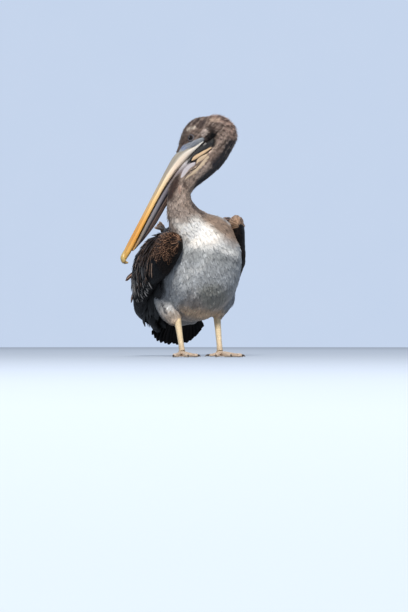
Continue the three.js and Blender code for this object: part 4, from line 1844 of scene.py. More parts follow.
@dataclass(frozen=True)
class Quills:
    """A rank of long feathers between two roots and two tips."""

    roots: tuple[Sequence[float], Sequence[float]]
    tips: tuple[Sequence[float], Sequence[float]]
    count: int
    width: float
    out: tuple[float, float, float]
    tone: FeatherTone
    bulge: float = 4.0
    stack: float = 0.7

    def places(self, draw: np.random.Generator) -> Array:
        """The rank's places, by feather, row and column.

        Args:
            draw: The random numbers.

        Returns:
            Bird millimetres.
        """
        share = np.linspace(0, 1, self.count)[:, None] if self.count > 1 else np.zeros((1, 1))
        (ra, rb), (ta, tb) = (np.asarray(pair, float) for pair in (self.roots, self.tips))
        out = unit(np.asarray(self.out, float))
        root = ra + share * (rb - ra) + out * (self.stack * np.arange(self.count))[:, None]
        tip = ta + share * (tb - ta) + out * (self.stack * np.arange(self.count))[:, None]
        tip = tip + draw.normal(0, 1.2, tip.shape)
        v = np.linspace(0, 1, VANE_ROWS)[None, :, None]
        spine = root[:, None] * (1 - v) + tip[:, None] * v + out * self.bulge * 4 * v * (1 - v)
        tangent = unit(np.gradient(spine, axis=1))
        across = unit(np.cross(np.broadcast_to(out, tangent.shape), tangent))
        up = np.cross(tangent, across)
        s = np.linspace(-1, 1, VANE_COLUMNS)
        wide = vane_width(v[0, :, 0])
        half = (self.width / 2 * wide)[None, :, None] * s
        camber = (0.1 * self.width * (1 - s**2) * wide[:, None])[None]
        return spine[:, :, None] + across[:, :, None] * half[..., None] + up[:, :, None] * camber[..., None]


@dataclass(frozen=True)
class Band:
    """Rows of overlapping feathers round a swept form."""

    start: float
    end: float
    step: float
    length: float
    width: float
    low: float
    high: float
    tone: FeatherTone
    lift: float = 2.0
    base: float = -3.0
    ruffle: float = 0.0
    turn: float = 0.0
    vary: float = 0.15
    advance: float = 1.0


@dataclass
class Plumed:
    """A form covered with bands of feathers, as its outer side faces."""

    form: Sweep
    outer: float
    up_sign: float
    pitch: float = 0.62

    def arc(self) -> tuple[Array, Array]:
        """The form's length along its path, and the path's own measure.

        Returns:
            The lengths in millimetres and the measures from 0 to 1.
        """
        t = np.linspace(0, 1, 400)
        steps = np.linalg.norm(np.diff(self.form.path.at(t), axis=0), axis=1)
        return np.concatenate([[0], np.cumsum(steps)]), t

    def girth(self, t: float) -> float:
        """About how far it is round the form for each radian."""
        one = np.array([t])
        return float((along_curve(self.form.wide, one) + 2 * along_curve(self.form.up, one))[0] / 3 * 1.15)

    def band(self, band: Band, draw: np.random.Generator) -> Array:
        """The places of one band's feathers.

        Args:
            band: How the feathers are.
            draw: The random numbers that stagger and vary them.

        Returns:
            Bird millimetres, by feather, row and column.
        """
        lengths, t = self.arc()
        starts, angles, bases = [], [], []
        rows = np.arange(band.start, band.end + 0.1, band.step)
        for row, s in enumerate(rows):
            here = float(np.interp(s + 0.5 * band.length, lengths, t))
            spread = math.radians(band.high - band.low)
            count = max(2, round(spread * self.girth(here) / (self.pitch * band.width)))
            share = (np.arange(count) + 0.5 * (row % 2) + 0.25) / count
            angles.append(math.radians(band.low) + spread * share)
            starts.append(np.full(count, s))
            bases.append(np.full(count, band.base))
        start = np.concatenate(starts)
        angle = np.concatenate(angles)
        base = np.concatenate(bases) + draw.normal(0, 0.15, len(start))
        count = len(start)
        start = start + draw.normal(0, 0.16 * band.step, count)
        angle = angle + draw.normal(0, 0.03, count)
        length = band.length * (1 + band.vary * draw.normal(0, 0.8, count))
        v = np.linspace(0, 1, VANE_ROWS)
        arc = start[:, None] + length[:, None] * v * band.advance
        along = np.interp(arc, lengths, t)
        beyond = np.maximum(arc - lengths[-1], 0) / lengths[-1]
        along = along + beyond
        fan = math.radians(band.turn) + draw.normal(0, 0.02, count)
        round_by = angle[:, None] + fan[:, None] * v
        stand = band.ruffle * draw.random(count) ** 2
        grow = base[:, None] + band.lift * v**0.9 + stand[:, None] * v**2
        flat_t, flat_a, flat_g = along.ravel(), (self.outer + self.up_sign * round_by).ravel(), grow.ravel()
        centre = self.form.surface(flat_t, flat_a, flat_g).reshape(count, VANE_ROWS, 3)
        above = self.form.surface(flat_t, flat_a, flat_g + 1.0).reshape(count, VANE_ROWS, 3)
        up = unit(above - centre)
        tangent = unit(np.gradient(centre, axis=1))
        across = unit(np.cross(up, tangent))
        s = np.linspace(-1, 1, VANE_COLUMNS)
        size = band.width / 2 * (1 + 0.1 * draw.normal(0, 1, count))
        half = size[:, None, None] * vane_width(v)[None, :, None] * s
        wrap = 0.13 * band.width * (1 - s**2) - 0.06 * band.width
        twist = draw.normal(0, 0.08, count)[:, None, None] * half
        raised = wrap * vane_width(v)[:, None] + twist
        return centre[:, :, None] + across[:, :, None] * half[..., None] + up[:, :, None] * raised[..., None]


BROWN_SCALE = FeatherTone(0x33221A, 0x8C6C57, 0x160E0B, 0.55)
TAN_SCALE = FeatherTone(0x75604F, 0xA88C78, 0x5E4A3D, 0.3)
BROWN_TIP = FeatherTone(0x140E0C, 0x6B5547, 0xB2917F, 0.35)
SILVER = FeatherTone(0x0B0A0B, 0x040404, 0xC8C2BD, 0.45)
SILVER_BROWN = FeatherTone(0x0E0B0A, 0x060505, 0xA88F80, 0.4)
BLACK = FeatherTone(0x040404, 0x080708, 0x0A0909, 0.2)
BLACK_BROWN = FeatherTone(0x080606, 0x130F0E, 0x171210, 0.25)
MANTLE_BROWN = FeatherTone(0x4A3F38, 0x93806F, 0x2A231F, 0.16)
TAIL_BLACK = FeatherTone(0x060505, 0x15100E, 0x0C0A09, 0.3)
DARK_SCALE = FeatherTone(0x090706, 0x231A16, 0x070505, 0.35)
VENT_GREY = FeatherTone(0x8B8680, 0xA8A29B, 0x6F6A66, 0.1)


@dataclass
class Wing:
    """One folded wing: coverts in bands over its form, then the long quills."""

    side: Side
    form: Sweep
    bands: tuple[Band, ...]
    quills: tuple[Quills, ...]
    finish: VaneFinish

    def build(self) -> list[Piece]:
        """Models the wing's coverts and its quills.

        Returns:
            The two pieces.
        """
        outer = 0.0 if self.side is Side.RIGHT else math.pi
        plumed = Plumed(self.form, outer, 1.0 if self.side is Side.RIGHT else -1.0)
        draw = np.random.default_rng(WING_SEED + self.side.value)
        material = self.finish.material()
        coverts = FeatherSet()
        for band in self.bands:
            coverts.add(plumed.band(band, draw), band.tone, draw)
        long_ones = FeatherSet()
        for rank in self.quills:
            long_ones.add(rank.places(draw), rank.tone, draw)
        word = self.side.word
        small = (f"wing_{word}_wrist", f"wing_{word}_coverts")
        large = (f"wing_{word}_primaries",)
        return [
            coverts.build(Part(f"wing_{word}_small_feathers", small, "wing_plumage", material)),
            long_ones.build(Part(f"wing_{word}_flight_feathers", large, "flight_feather", material)),
        ]


def right_wing() -> Wing:
    """The right wing, hanging a little open, its coverts drooping down its outer side.

    Returns:
        The wing, ready to build.
    """
    out = (-1.0, -0.35, 0.1)
    low = (-0.8, -0.55, -0.2)
    bands = (
        Band(300, 350, 24, 74, 24, -90, 90, BLACK, base=-5.0, lift=2.5),
        Band(150, 300, 20, 84, 18, -95, 95, BLACK_BROWN, base=-5.0, lift=2.5, turn=-24),
        Band(60, 150, 12, 46, 14, -120, 110, BLACK, base=-4.2, lift=2.2, turn=-16),
        Band(140, 262, 14, 112, 12, -30, 92, SILVER, base=-3.8, lift=2.6, turn=-72, ruffle=5, advance=0.42),
        Band(146, 236, 44, 104, 9, -12, 84, SILVER, base=-1.8, lift=3.2, turn=-70, ruffle=3, advance=0.42),
        Band(
            100, 206, 12, 80, 10, 0, 104, SILVER_BROWN, base=-3.2, lift=2.8, turn=-62, ruffle=7, advance=0.46
        ),
        Band(74, 170, 10, 44, 8, 28, 120, BROWN_TIP, base=-2.6, lift=3.0, turn=-44, ruffle=9, advance=0.55),
        Band(40, 78, 6, 18, 7, 6, 170, BROWN_SCALE, base=-2.6, lift=2.6, ruffle=3, turn=-10),
        Band(40, 70, 6, 18, 7, -34, 6, BROWN_SCALE, base=-2.6, lift=2.4, ruffle=3),
        Band(40, 70, 6, 18, 7, -100, -34, DARK_SCALE, base=-2.6, lift=2.4, ruffle=3),
        Band(4, 46, 5, 14, 7, -78, 170, BROWN_SCALE, base=-2.6, lift=2.2, ruffle=3),
        Band(4, 60, 6, 18, 9, 170, 300, DARK_SCALE, base=-2.4, lift=2.2),
    )
    quills = (
        Quills(((-102, -10, 196), (-104, 150, 146)), ((-90, 70, 132), (-91, 226, 78)), 12, 34, out, BLACK),
        Quills(((-100, 150, 138), (-100, 190, 160)), ((-79, 260, 74), (-76, 284, 98)), 5, 24, out, BLACK),
        Quills(((-110, 60, 180), (-98, 170, 140)), ((-96, 128, 104), (-78, 234, 90)), 7, 30, low, BLACK, 3),
        Quills(((-96, 60, 150), (-88, 150, 128)), ((-88, 120, 100), (-74, 200, 80)), 5, 28, low, BLACK, 3),
        Quills(((-94, 110, 138), (-76, 176, 128)), ((-94, 180, 80), (-64, 232, 64)), 8, 40, low, BLACK, 3),
        Quills(((-116, 90, 160), (-96, 150, 140)), ((-122, 184, 120), (-92, 212, 84)), 7, 38, low, BLACK, 3),
        Quills(((-72, 110, 140), (-60, 160, 128)), ((-70, 190, 84), (-50, 226, 76)), 5, 38, low, BLACK, 3),
        Quills(((-126, 92, 222),) * 2, ((-162, 138, 190),) * 2, 1, 13, out, BROWN_TIP),
        Quills(((-128, 120, 188),) * 2, ((-143, 168, 135),) * 2, 1, 14, out, BROWN_TIP),
    )
    finish = VaneFinish("wing_feathers_right", heart=0.24, gloss=0.08)
    return Wing(Side.RIGHT, WING_RIGHT, bands, quills, finish)


def left_wing() -> Wing:
    """The left wing, folded against the body.

    Returns:
        The wing, ready to build.
    """
    out = (1.0, -0.1, 0.15)
    bands = (
        Band(300, 350, 24, 74, 24, -80, 90, BLACK, base=-5.0, lift=2.0),
        Band(214, 300, 22, 84, 20, -60, 95, BLACK_BROWN, base=-4.6, lift=2.2),
        Band(150, 222, 16, 70, 12, -60, 95, SILVER, base=-4.2, lift=2.2, ruffle=2),
        Band(104, 156, 12, 50, 11, -64, 110, SILVER_BROWN, base=-3.8, lift=2.2, ruffle=2),
        # Painted shade: the coverts on the outer and lower side, away from the key light, are dark, those on
        # top and inside tan.
        Band(66, 108, 9, 34, 11, -90, 56, DARK_SCALE, base=-3.2, lift=1.8),
        Band(66, 108, 9, 34, 11, 56, 200, TAN_SCALE, base=-2.8, lift=2.0, ruffle=3),
        # Painted shade again: dark on the outer and lower side, tan on top and inside.
        Band(3, 68, 6, 18, 8, -170, 20, DARK_SCALE, base=-2.6, lift=1.6),
        Band(3, 68, 6, 18, 8, 20, 190, TAN_SCALE, base=-2.0, lift=2.2, ruffle=4),
    )
    quills = (
        Quills(((89, 0, 228), (74, 150, 146)), ((88, 74, 164), (44, 230, 96)), 9, 26, out, BLACK),
        Quills(((56, 170, 132), (52, 196, 152)), ((31, 282, 74), (25, 298, 96)), 5, 24, out, BLACK),
    )
    finish = VaneFinish("wing_feathers_left", heart=0.16, gloss=0.08)
    return Wing(Side.LEFT, WING_LEFT, bands, quills, finish)


@dataclass
class Scapulars:
    """The shoulder feathers that lie over the wing's root, with any loose tuft."""

    side: Side
    form: Sweep
    tuft: tuple[Quills, ...] = ()
    finish: VaneFinish = VaneFinish("shoulder_feathers", barbs=44.0)

    def build(self) -> Piece:
        """Models the shoulder feathers.

        Returns:
            The piece.
        """
        plumed = Plumed(self.form, 0.0 if self.side is Side.RIGHT else math.pi, float(-self.side.value))
        draw = np.random.default_rng(SHOULDER_SEED + self.side.value)
        rows = FeatherSet()
        bands = (
            Band(190, 268, 24, 76, 24, -60, 200, BLACK_BROWN, base=-4.4, lift=2.6),
            Band(110, 200, 20, 62, 22, -70, 200, MANTLE_BROWN, base=-3.8, lift=2.6),
            Band(44, 116, 15, 44, 17, -80, 210, MANTLE_BROWN, base=-3.2, lift=2.4),
            Band(3, 48, 9, 24, 12, -180, 180, BROWN_SCALE, base=-2.6, lift=2.0),
        )
        for band in bands:
            rows.add(plumed.band(band, draw), band.tone, draw)
        for rank in self.tuft:
            rows.add(rank.places(draw), rank.tone, draw)
        word = self.side.word
        nodes = (f"scapulars_{word}",)
        part = Part(f"shoulder_feathers_{word}", nodes, "wing_plumage", self.finish.material())
        return rows.build(part)


RISE = (-0.2, -0.6, 0.75)
TUFT = (
    Quills(((-66, -10, 300), (-76, 50, 284)), ((-113, 10, 315), (-92, 50, 331)), 9, 11, RISE, TAN_SCALE, 3),
    Quills(((-64, 0, 298), (-74, 56, 282)), ((-106, 18, 318), (-86, 58, 326)), 7, 11, RISE, BROWN_TIP, 5),
)
UNDER = (0, -0.6, -0.8)
VENT = Quills(((-26, 112, 106), (18, 112, 104)), ((-22, 158, 76), (4, 158, 84)), 4, 20, UNDER, VENT_GREY)


@dataclass
class Tail:
    """The short fan of tail feathers."""

    root: tuple[float, float, float] = (-8, 172, 124)
    tips: tuple[tuple[float, float, float], ...] = (
        (-74, 254, 56),
        (-55, 270, 37),
        (-31, 278, 31),
        (-6, 280, 29),
        (18, 278, 32),
        (41, 270, 48),
        (60, 258, 74),
    )
    face: tuple[float, float, float] = (0, 0.66, 0.75)
    width: float = 31.0
    finish: VaneFinish = VaneFinish("tail_feathers", gloss=0.06)
    vent_finish: VaneFinish = VaneFinish("undertail_feathers", barbs=30.0)

    def build(self) -> Piece:
        """Models the fan, outer feathers lowest.

        Returns:
            The fan.
        """
        draw = np.random.default_rng(TAIL_SEED)
        fan = FeatherSet()
        tips = Path(self.tips).at(np.linspace(0, 1, 14))
        middle = (len(tips) - 1) / 2
        for i, tip in enumerate(tips):
            raised = 1.6 - 0.45 * abs(i - middle)
            spread = (0.35 * (tip[0] - self.root[0]) * 0.5, 0, 0)
            root = np.array(self.root) + spread + np.array(self.face) * raised
            out = unit(np.array(self.face) + (0.006 * (tip[0] + 8), 0, 0))
            end = tip + out * raised
            rank = Quills((root, root), (end, end), 1, self.width, tuple(out), TAIL_BLACK, 2)
            fan.add(rank.places(draw), rank.tone, draw)
        vent = FeatherSet()
        vent.add(VENT.places(draw), VENT.tone, draw)
        vent.build(Part("undertail_feathers", (), "pale_plumage", self.vent_finish.material()))
        return fan.build(Part("tail_feathers", ("tail",), "flight_feather", self.finish.material()))


# ---------- Head ----------
UPPER_BILL = swept(
    (0, 46, -47, 19, 5),
    (0, 24, -38, 20.5, 8),
    (0, 2, -25, 20, 14, 15.5),
    (0, -20, -17, 18, 14, 17.5),
    (0, -48, -12.5, 15.5, 11, 13.5),
    (0, -100, -9.5, 14, 8.3, 9.3),
    (0, -180, -8.2, 14, 7.5, 8.4),
    (0, -240, -8, 15, 8, 8.3),
    (0, -272, -8, 13, 8, 7.6),
    (0, -288, -8, 8, 7, 6),
)
NAIL = swept(
    (0, -268, -4, 5, 5),
    (0, -280, -4.6, 6.6, 6.4),
    (0, -288, -6, 8, 7.2, 7),
    (0, -295, -12, 6.5, 5.5),
    (0, -293, -21, 2.5, 2),
)
POUCH = swept(
    (0, 76, -72, 14, 12, 10),
    (0, 52, -67, 19, 14, 20),
    (0, 20, -58, 20, 14, 26),
    (0, -30, -43, 17, 10, 20),
    (0, -100, -32, 13.5, 7, 13),
    (0, -180, -26, 11.5, 4, 12),
    (0, -225, -23, 9, 2.5, 7.5),
    (0, -256, -20.5, 4, 1.2, 2.5),
)


def lower_arm(side: Side) -> Sweep:
    """One side of the lower jaw, from the gape to the tip.

    Args:
        side: Which side of the bird.

    Returns:
        The form.
    """
    k = side.value
    return swept(
        (k * 18.5, 46, -58, 3.4, 7, 5),
        (k * 18.5, 12, -48, 3.4, 8, 5),
        (k * 16.6, -36, -34, 3.2, 8, 5.4),
        (k * 13.6, -100, -25.5, 3, 8, 5),
        (k * 12.4, -180, -21.6, 2.8, 6.4, 4.4),
        (k * 11, -236, -20, 2.6, 4.6, 3.2),
        (k * 6, -262, -18, 2.2, 2.6, 1.4),
    )


@dataclass
class Bill:
    """The bill: upper jaw with its ridge and nail, the two lower arms, and the folded pouch."""

    ridge: float = 1.3
    groove: float = 0.9
    horn: HornFinish = HornFinish("bill_horn")
    nail_horn: HornFinish = HornFinish("nail_horn", 0.3, 0.6)
    pouch_finish: SkinFinish = SkinFinish("pouch_skin", 480.0, 0.5)
    # The last colour, near-black from the gape back, is painted shadow in the mouth's corner.
    arm_stops: tuple[float, ...] = (-262, -225, -150, -95, -70, -50, -24, -12)
    arm_codes: tuple[int, ...] = (
        0xC09450, 0x7C7268, 0x6A6870, 0x55505A, 0x4A3B36, 0x6E6264, 0xA5A0A6, 0x100E0C,
    )

    def horn_tone(self, y: Array, rise: Array) -> Array:
        """The horn's colour, from the face to the tip and from the edge to the ridge.

        Args:
            y: How far back along the head, in millimetres.
            rise: From -1 under the jaw to 1 on its ridge.

        Returns:
            A colour for each.
        """
        stops = (-46, -20, 10, 45, 90, 140, 190, 235, 280)
        codes = (0xB8BAB8, 0xCFCAC2, 0xE6D8C8, 0xF2DECB, 0xEBD2A9, 0xEBC17C, 0xE5A74A, 0xDE9A3A, 0xDDAE5C)
        base = graded(stops, codes, -y)
        low = np.interp(y, (-150, -80, -30, 0, 30), (0.55, 0.35, 0.05, 0.0, 0.3))
        top = ramp(0.0, 0.4, rise - low) * ramp(-230, -30, y)
        return layered(base, top * 0.8, 0x84847C)

    def upper(self) -> Piece:
        """Models the upper jaw.

        Returns:
            The piece.
        """

        def placing(along: Array, angle: Array) -> Array:
            """The upper jaw's surface, with its ridge, grooves and edge."""
            rise = np.sin(angle)
            fade = ramp(0.0, 0.3, along) * (1 - ramp(0.9, 1.0, along))
            turn = np.degrees(np.abs(np.arctan2(np.cos(angle), rise)))
            ridge = self.ridge * np.exp(-((turn / 15) ** 2))
            groove = self.groove * np.exp(-(((turn - 42) / 9) ** 2))
            edge = 0.7 * np.exp(-(((turn - 112) / 9) ** 2))
            return on_head(UPPER_BILL.surface(along, angle, (ridge - groove + edge) * fade - 0.3))

        def colouring(along: Array, angle: Array) -> Array:
            """The upper jaw's marking, with painted shade in its side grooves and on its underside."""
            y = UPPER_BILL.path.at(along)[:, 1]
            turn = np.degrees(np.abs(np.arctan2(np.cos(angle), np.sin(angle))))
            base = self.horn_tone(y, np.sin(angle))
            # Painted shade: darker along the side grooves.
            base = layered(base, np.exp(-(((turn - 42) / 7) ** 2)) * 0.45, 0x8A7A68)
            # Painted shade: darker on the jaw's underside.
            return layered(base, ramp(146, 168, turn) * 0.6, 0x6E5A48)

        piece = tube(150, 72, placing, colouring)
        return Part("upper_bill", ("bill_upper",), "bill_horn", self.horn.material()).settle(piece)

    def nail(self) -> Piece:
        """Models the hooked nail at the tip.

        Returns:
            The piece.
        """

        def placing(along: Array, angle: Array) -> Array:
            """The nail's surface."""
            return on_head(NAIL.surface(along, angle, -0.1))

        def colouring(along: Array, angle: Array) -> Array:
            """The nail's marking."""
            base = plain(0xCBAF6C, along)
            base = layered(base, ramp(0.55, 0.9, along) * 0.8, 0xB08A4C)
            return layered(base, ramp(0.12, 0.0, along) * 0.7, 0x8A6A44)

        piece = tube(36, 36, placing, colouring)
        return Part("bill_nail_hook", ("bill_nail",), "nail_horn", self.nail_horn.material()).settle(piece)

    def lower(self) -> Piece:
        """Models the two arms of the lower jaw.

        Returns:
            The piece.
        """
        arms = []
        for side in Side:
            form = lower_arm(side)

            def placing(along: Array, angle: Array, form: Sweep = form) -> Array:
                """One arm's surface."""
                return on_head(form.surface(along, angle, -0.1))

            def colouring(along: Array, angle: Array, form: Sweep = form) -> Array:
                """One arm's marking, with painted shadow along its underside towards the tip."""
                y = form.path.at(along)[:, 1]
                base = graded(self.arm_stops, self.arm_codes, y)
                # Painted shadow: near-black along the arm's underside, growing towards the tip.
                below = 1 - ramp(-0.5, 0.2, np.sin(angle))
                return layered(base, below * ramp(-60, -100, y) * 0.85, 0x14141C)

            arms.append(tube(120, 22, placing, colouring))
        piece = merged("lower_bill", arms)
        return Part("lower_bill", ("bill_lower",), "bill_horn", self.horn.material()).settle(piece)

    def pouch(self) -> Piece:
        """Models the pouch, slack and pleated lengthwise.

        Returns:
            The piece.
        """

        def placing(along: Array, angle: Array) -> Array:
            """The pouch's surface, with its pleats."""
            down = np.clip(-np.sin(angle), 0, 1)
            slack = ramp(0.0, 0.2, along) * (1 - ramp(0.8, 1.0, along))
            pleat = np.sin(angle * 13 + 3 * np.sin(along * 9)) * 0.8 + np.sin(angle * 29 + along * 14) * 0.25
            return on_head(POUCH.surface(along, angle, pleat * slack * (0.3 + 0.7 * down) - 0.9))

        def colouring(along: Array, angle: Array) -> Array:
            """The pouch's marking, with painted shade in its creases."""
            y = POUCH.path.at(along)[:, 1]
            base = plain(0x5E4A41, along)
            base = layered(base, ramp(-70, -30, y) * 0.7, 0x9E9496)
            # Painted shade: darker in the hollows between the pleats.
            crease = 0.5 + 0.5 * np.sin(angle * 13 + 3 * np.sin(along * 9))
            base = layered(base, (1 - crease) * 0.45, 0x3A302E)
            base = layered(base, ramp(0, 30, y), 0x7D6E64)
            return layered(base, ramp(40, 50, y), 0x050506)

        piece = tube(120, 96, placing, colouring)
        return Part("throat_pouch", ("pouch",), "pouch_skin", self.pouch_finish.material()).settle(piece)

    def build(self) -> list[Piece]:
        """Models the whole bill."""
        return [self.upper(), self.nail(), self.lower(), self.pouch()]


@dataclass
class Gape:
    """The mouth's corner with a black strip of painted shadow, and the pale folds of skin below and behind
    it, with dark strips of painted shade in the creases between them.
    """

    tree: BVHTree
    reach: float = 90.0
    cheek: float = 14.0
    shortest: int = 4
    finish: SkinFinish = SkinFinish("gape_skin", 560.0, 0.5)

    def on_side(self, place: Array, side: Side) -> float:
        """How far out the skin is at a place on the side of the head, or NaN past the cheek's end.

        Args:
            place: A place in the head's axes, for the left side.
            side: Which side it is on.

        Returns:
            The distance out, never less than the place's own on the left side.
        """
        start = on_head(np.array([(side.value * self.reach, place[1], place[2])]))[0]
        way = -side.value * HEAD_LEFT
        hit = self.tree.ray_cast(Vector(to_model(start)), Vector(way), self.reach * MM)[0]
        out = math.nan if hit is None else side.value * head_place(to_bird(np.array(hit))[None])[0, 0]
        if side is Side.LEFT:
            return float(np.fmax(out, place[0]))
        return float(out) if out > self.cheek else math.nan

    def line(self, fold: Fold, side: Side) -> Array:
        """A fold's line on the skin, in the head's axes, as far as the cheek reaches.

        Args:
            fold: The fold.
            side: Which side of the bird.

        Returns:
            The line, or no rows where the cheek is too short for it.
        """
        places = Path(fold.points).at(np.linspace(0, 1, 9))
        out = np.array([self.on_side(place, side) for place in places])
        lost = np.isnan(out)
        end = int(np.argmax(lost)) if lost.any() else len(out)
        places, out = places[:end], out[:end]
        if end < self.shortest:
            return np.empty((0, 3))
        smooth = np.convolve(np.concatenate([out[:1], out, out[-1:]]), (0.25, 0.5, 0.25), "valid")
        return np.column_stack([side.value * smooth, places[:, 1:]])

    def build(self) -> Piece:
        """Models every fold on both sides as one piece.

        Returns:
            The piece.
        """
        lines = [(fold, self.line(fold, side)) for side in Side for fold in FOLDS]
        pieces = [self.ridge(fold, line) for fold, line in lines if len(line)]
        piece = merged("gape_folds", pieces)
        return Part("gape_folds", (), "pouch_skin", self.finish.material()).settle(piece)

    def ridge(self, fold: Fold, line: Array) -> Piece:
        """Models one fold along its line.

        Args:
            fold: The fold.
            line: Its line, in the head's axes.

        Returns:
            The closed ridge.
        """
        halves = along_curve(fold.half_widths, np.linspace(0, 1, len(line)))
        form = swept(*[(*place, fold.height, float(half)) for place, half in zip(line, halves)])

        def placing(along: Array, angle: Array) -> Array:
            """The ridge's surface, thinned at both ends."""
            thin = np.sqrt(np.clip(1 - (2 * along - 1) ** 6, 0.02, 1))
            centre = form.path.at(along)
            full = form.surface(along, angle)
            return on_head(centre + (full - centre) * thin[:, None])

        def colouring(along: Array, angle: Array) -> Array:
            """The ridge's marking, with painted shade at its edges where it meets the skin."""
            outward = np.abs(np.cos(angle))
            base = plain(fold.edge, along)
            # Painted shade: the edge colour on the ridge's flanks, the crest colour on top.
            return layered(base, ramp(0.2, 0.75, outward), fold.colour)

        return tube(48, 24, placing, colouring)


@dataclass
class Eyes:
    """The two eyes in their sockets, each with its lids."""

    radius: float = 7.0
    lid: float = 1.15
    finish: EyeFinish = EyeFinish("wet_eye")
    lid_finish: SkinFinish = SkinFinish("eyelid_skin", 900.0, 0.45)

    def ball(self, side: Side) -> Piece:
        """Models one eyeball, its pupil facing sideways and a little forwards.

        Args:
            side: Which side of the bird.

        Returns:
            The piece.
        """
        out = unit(np.array((side.value * 1.0, -0.16, 0.1)))
        up = unit(np.cross(out, (0.0, 1.0, 0.0)) * side.value)
        fore = np.cross(up, out)
        middle = np.array((side.value * EYE_AT[0], EYE_AT[1], EYE_AT[2]))
        bpy.ops.object.select_all(action="DESELECT")
        bpy.ops.mesh.primitive_uv_sphere_add(segments=48, ring_count=32, radius=1.0, calc_uvs=True)
        piece = bpy.context.object
        flat = per_vertex(piece.data)
        swell = 1 + 0.05 * ramp(0.75, 0.98, flat[:, 2])
        local = flat * (self.radius - 0.15)
        turned = local[:, :1] * fore + local[:, 1:2] * up + (local[:, 2] * swell)[:, None] * out
        set_coordinates(piece.data, to_model(on_head(middle + turned)))
        tidy_mesh(piece)
        word = side.word
        return Part(f"eyeball_{word}", (f"eye_{word}",), "eye", self.finish.material()).settle(piece)

    def lids(self) -> Piece:
        """Models the rims of the lids round both eyes.

        Returns:
            The piece.
        """
        rings = []
        for side in Side:
            middle = np.array((side.value * EYE_AT[0], EYE_AT[1], EYE_AT[2]))

            def placing(along: Array, angle: Array, k: int = side.value, middle: Array = middle) -> Array:
                """The rim's surface, along the almond of the lids."""
                turn = along * 2 * math.pi
                above = np.maximum(np.sin(turn), 0)
                open_by = np.radians(56 + 6 * np.cos(2 * turn) + 3 * np.cos(turn) - 3 * above)
                flat = np.stack([np.zeros_like(turn), np.cos(turn), np.sin(turn)], axis=1)
                out = np.array((k * 1.0, 0.0, 0.0))
                ray = np.cos(open_by)[:, None] * out + np.sin(open_by)[:, None] * flat
                off = np.cos(angle)[:, None] * ray + np.sin(angle)[:, None] * flat
                thick = self.lid * (1 + 0.25 * above)
                return on_head(middle + ray * (self.radius + 0.25) + off * thick[:, None])

            def colouring(along: Array, angle: Array) -> Array:
                """The rim's marking."""
                base = plain(0x7A7880, along)
                base = layered(base, ramp(0.1, -0.5, np.sin(angle)) * 0.9, 0x1E1C22)
                return layered(base, ramp(0.1, 0.8, np.sin(along * 2 * math.pi)) * 0.8, 0x2C2A30)

            rings.append(hoop(72, 16, placing, colouring))
        piece = merged("eyelids", rings)
        return Part("eyelids", (), "brown_plumage", self.lid_finish.material()).settle(piece)

    def build(self) -> list[Piece]:
        """Models both eyes and their lids."""
        return [self.ball(side) for side in Side] + [self.lids()]


# ---------- Legs and feet ----------
@dataclass(frozen=True)
class Toe:
    """A toe: its bearing from straight ahead (inwards positive), its share of the foot and its radius."""

    bearing: float
    reach: float
    radius: float


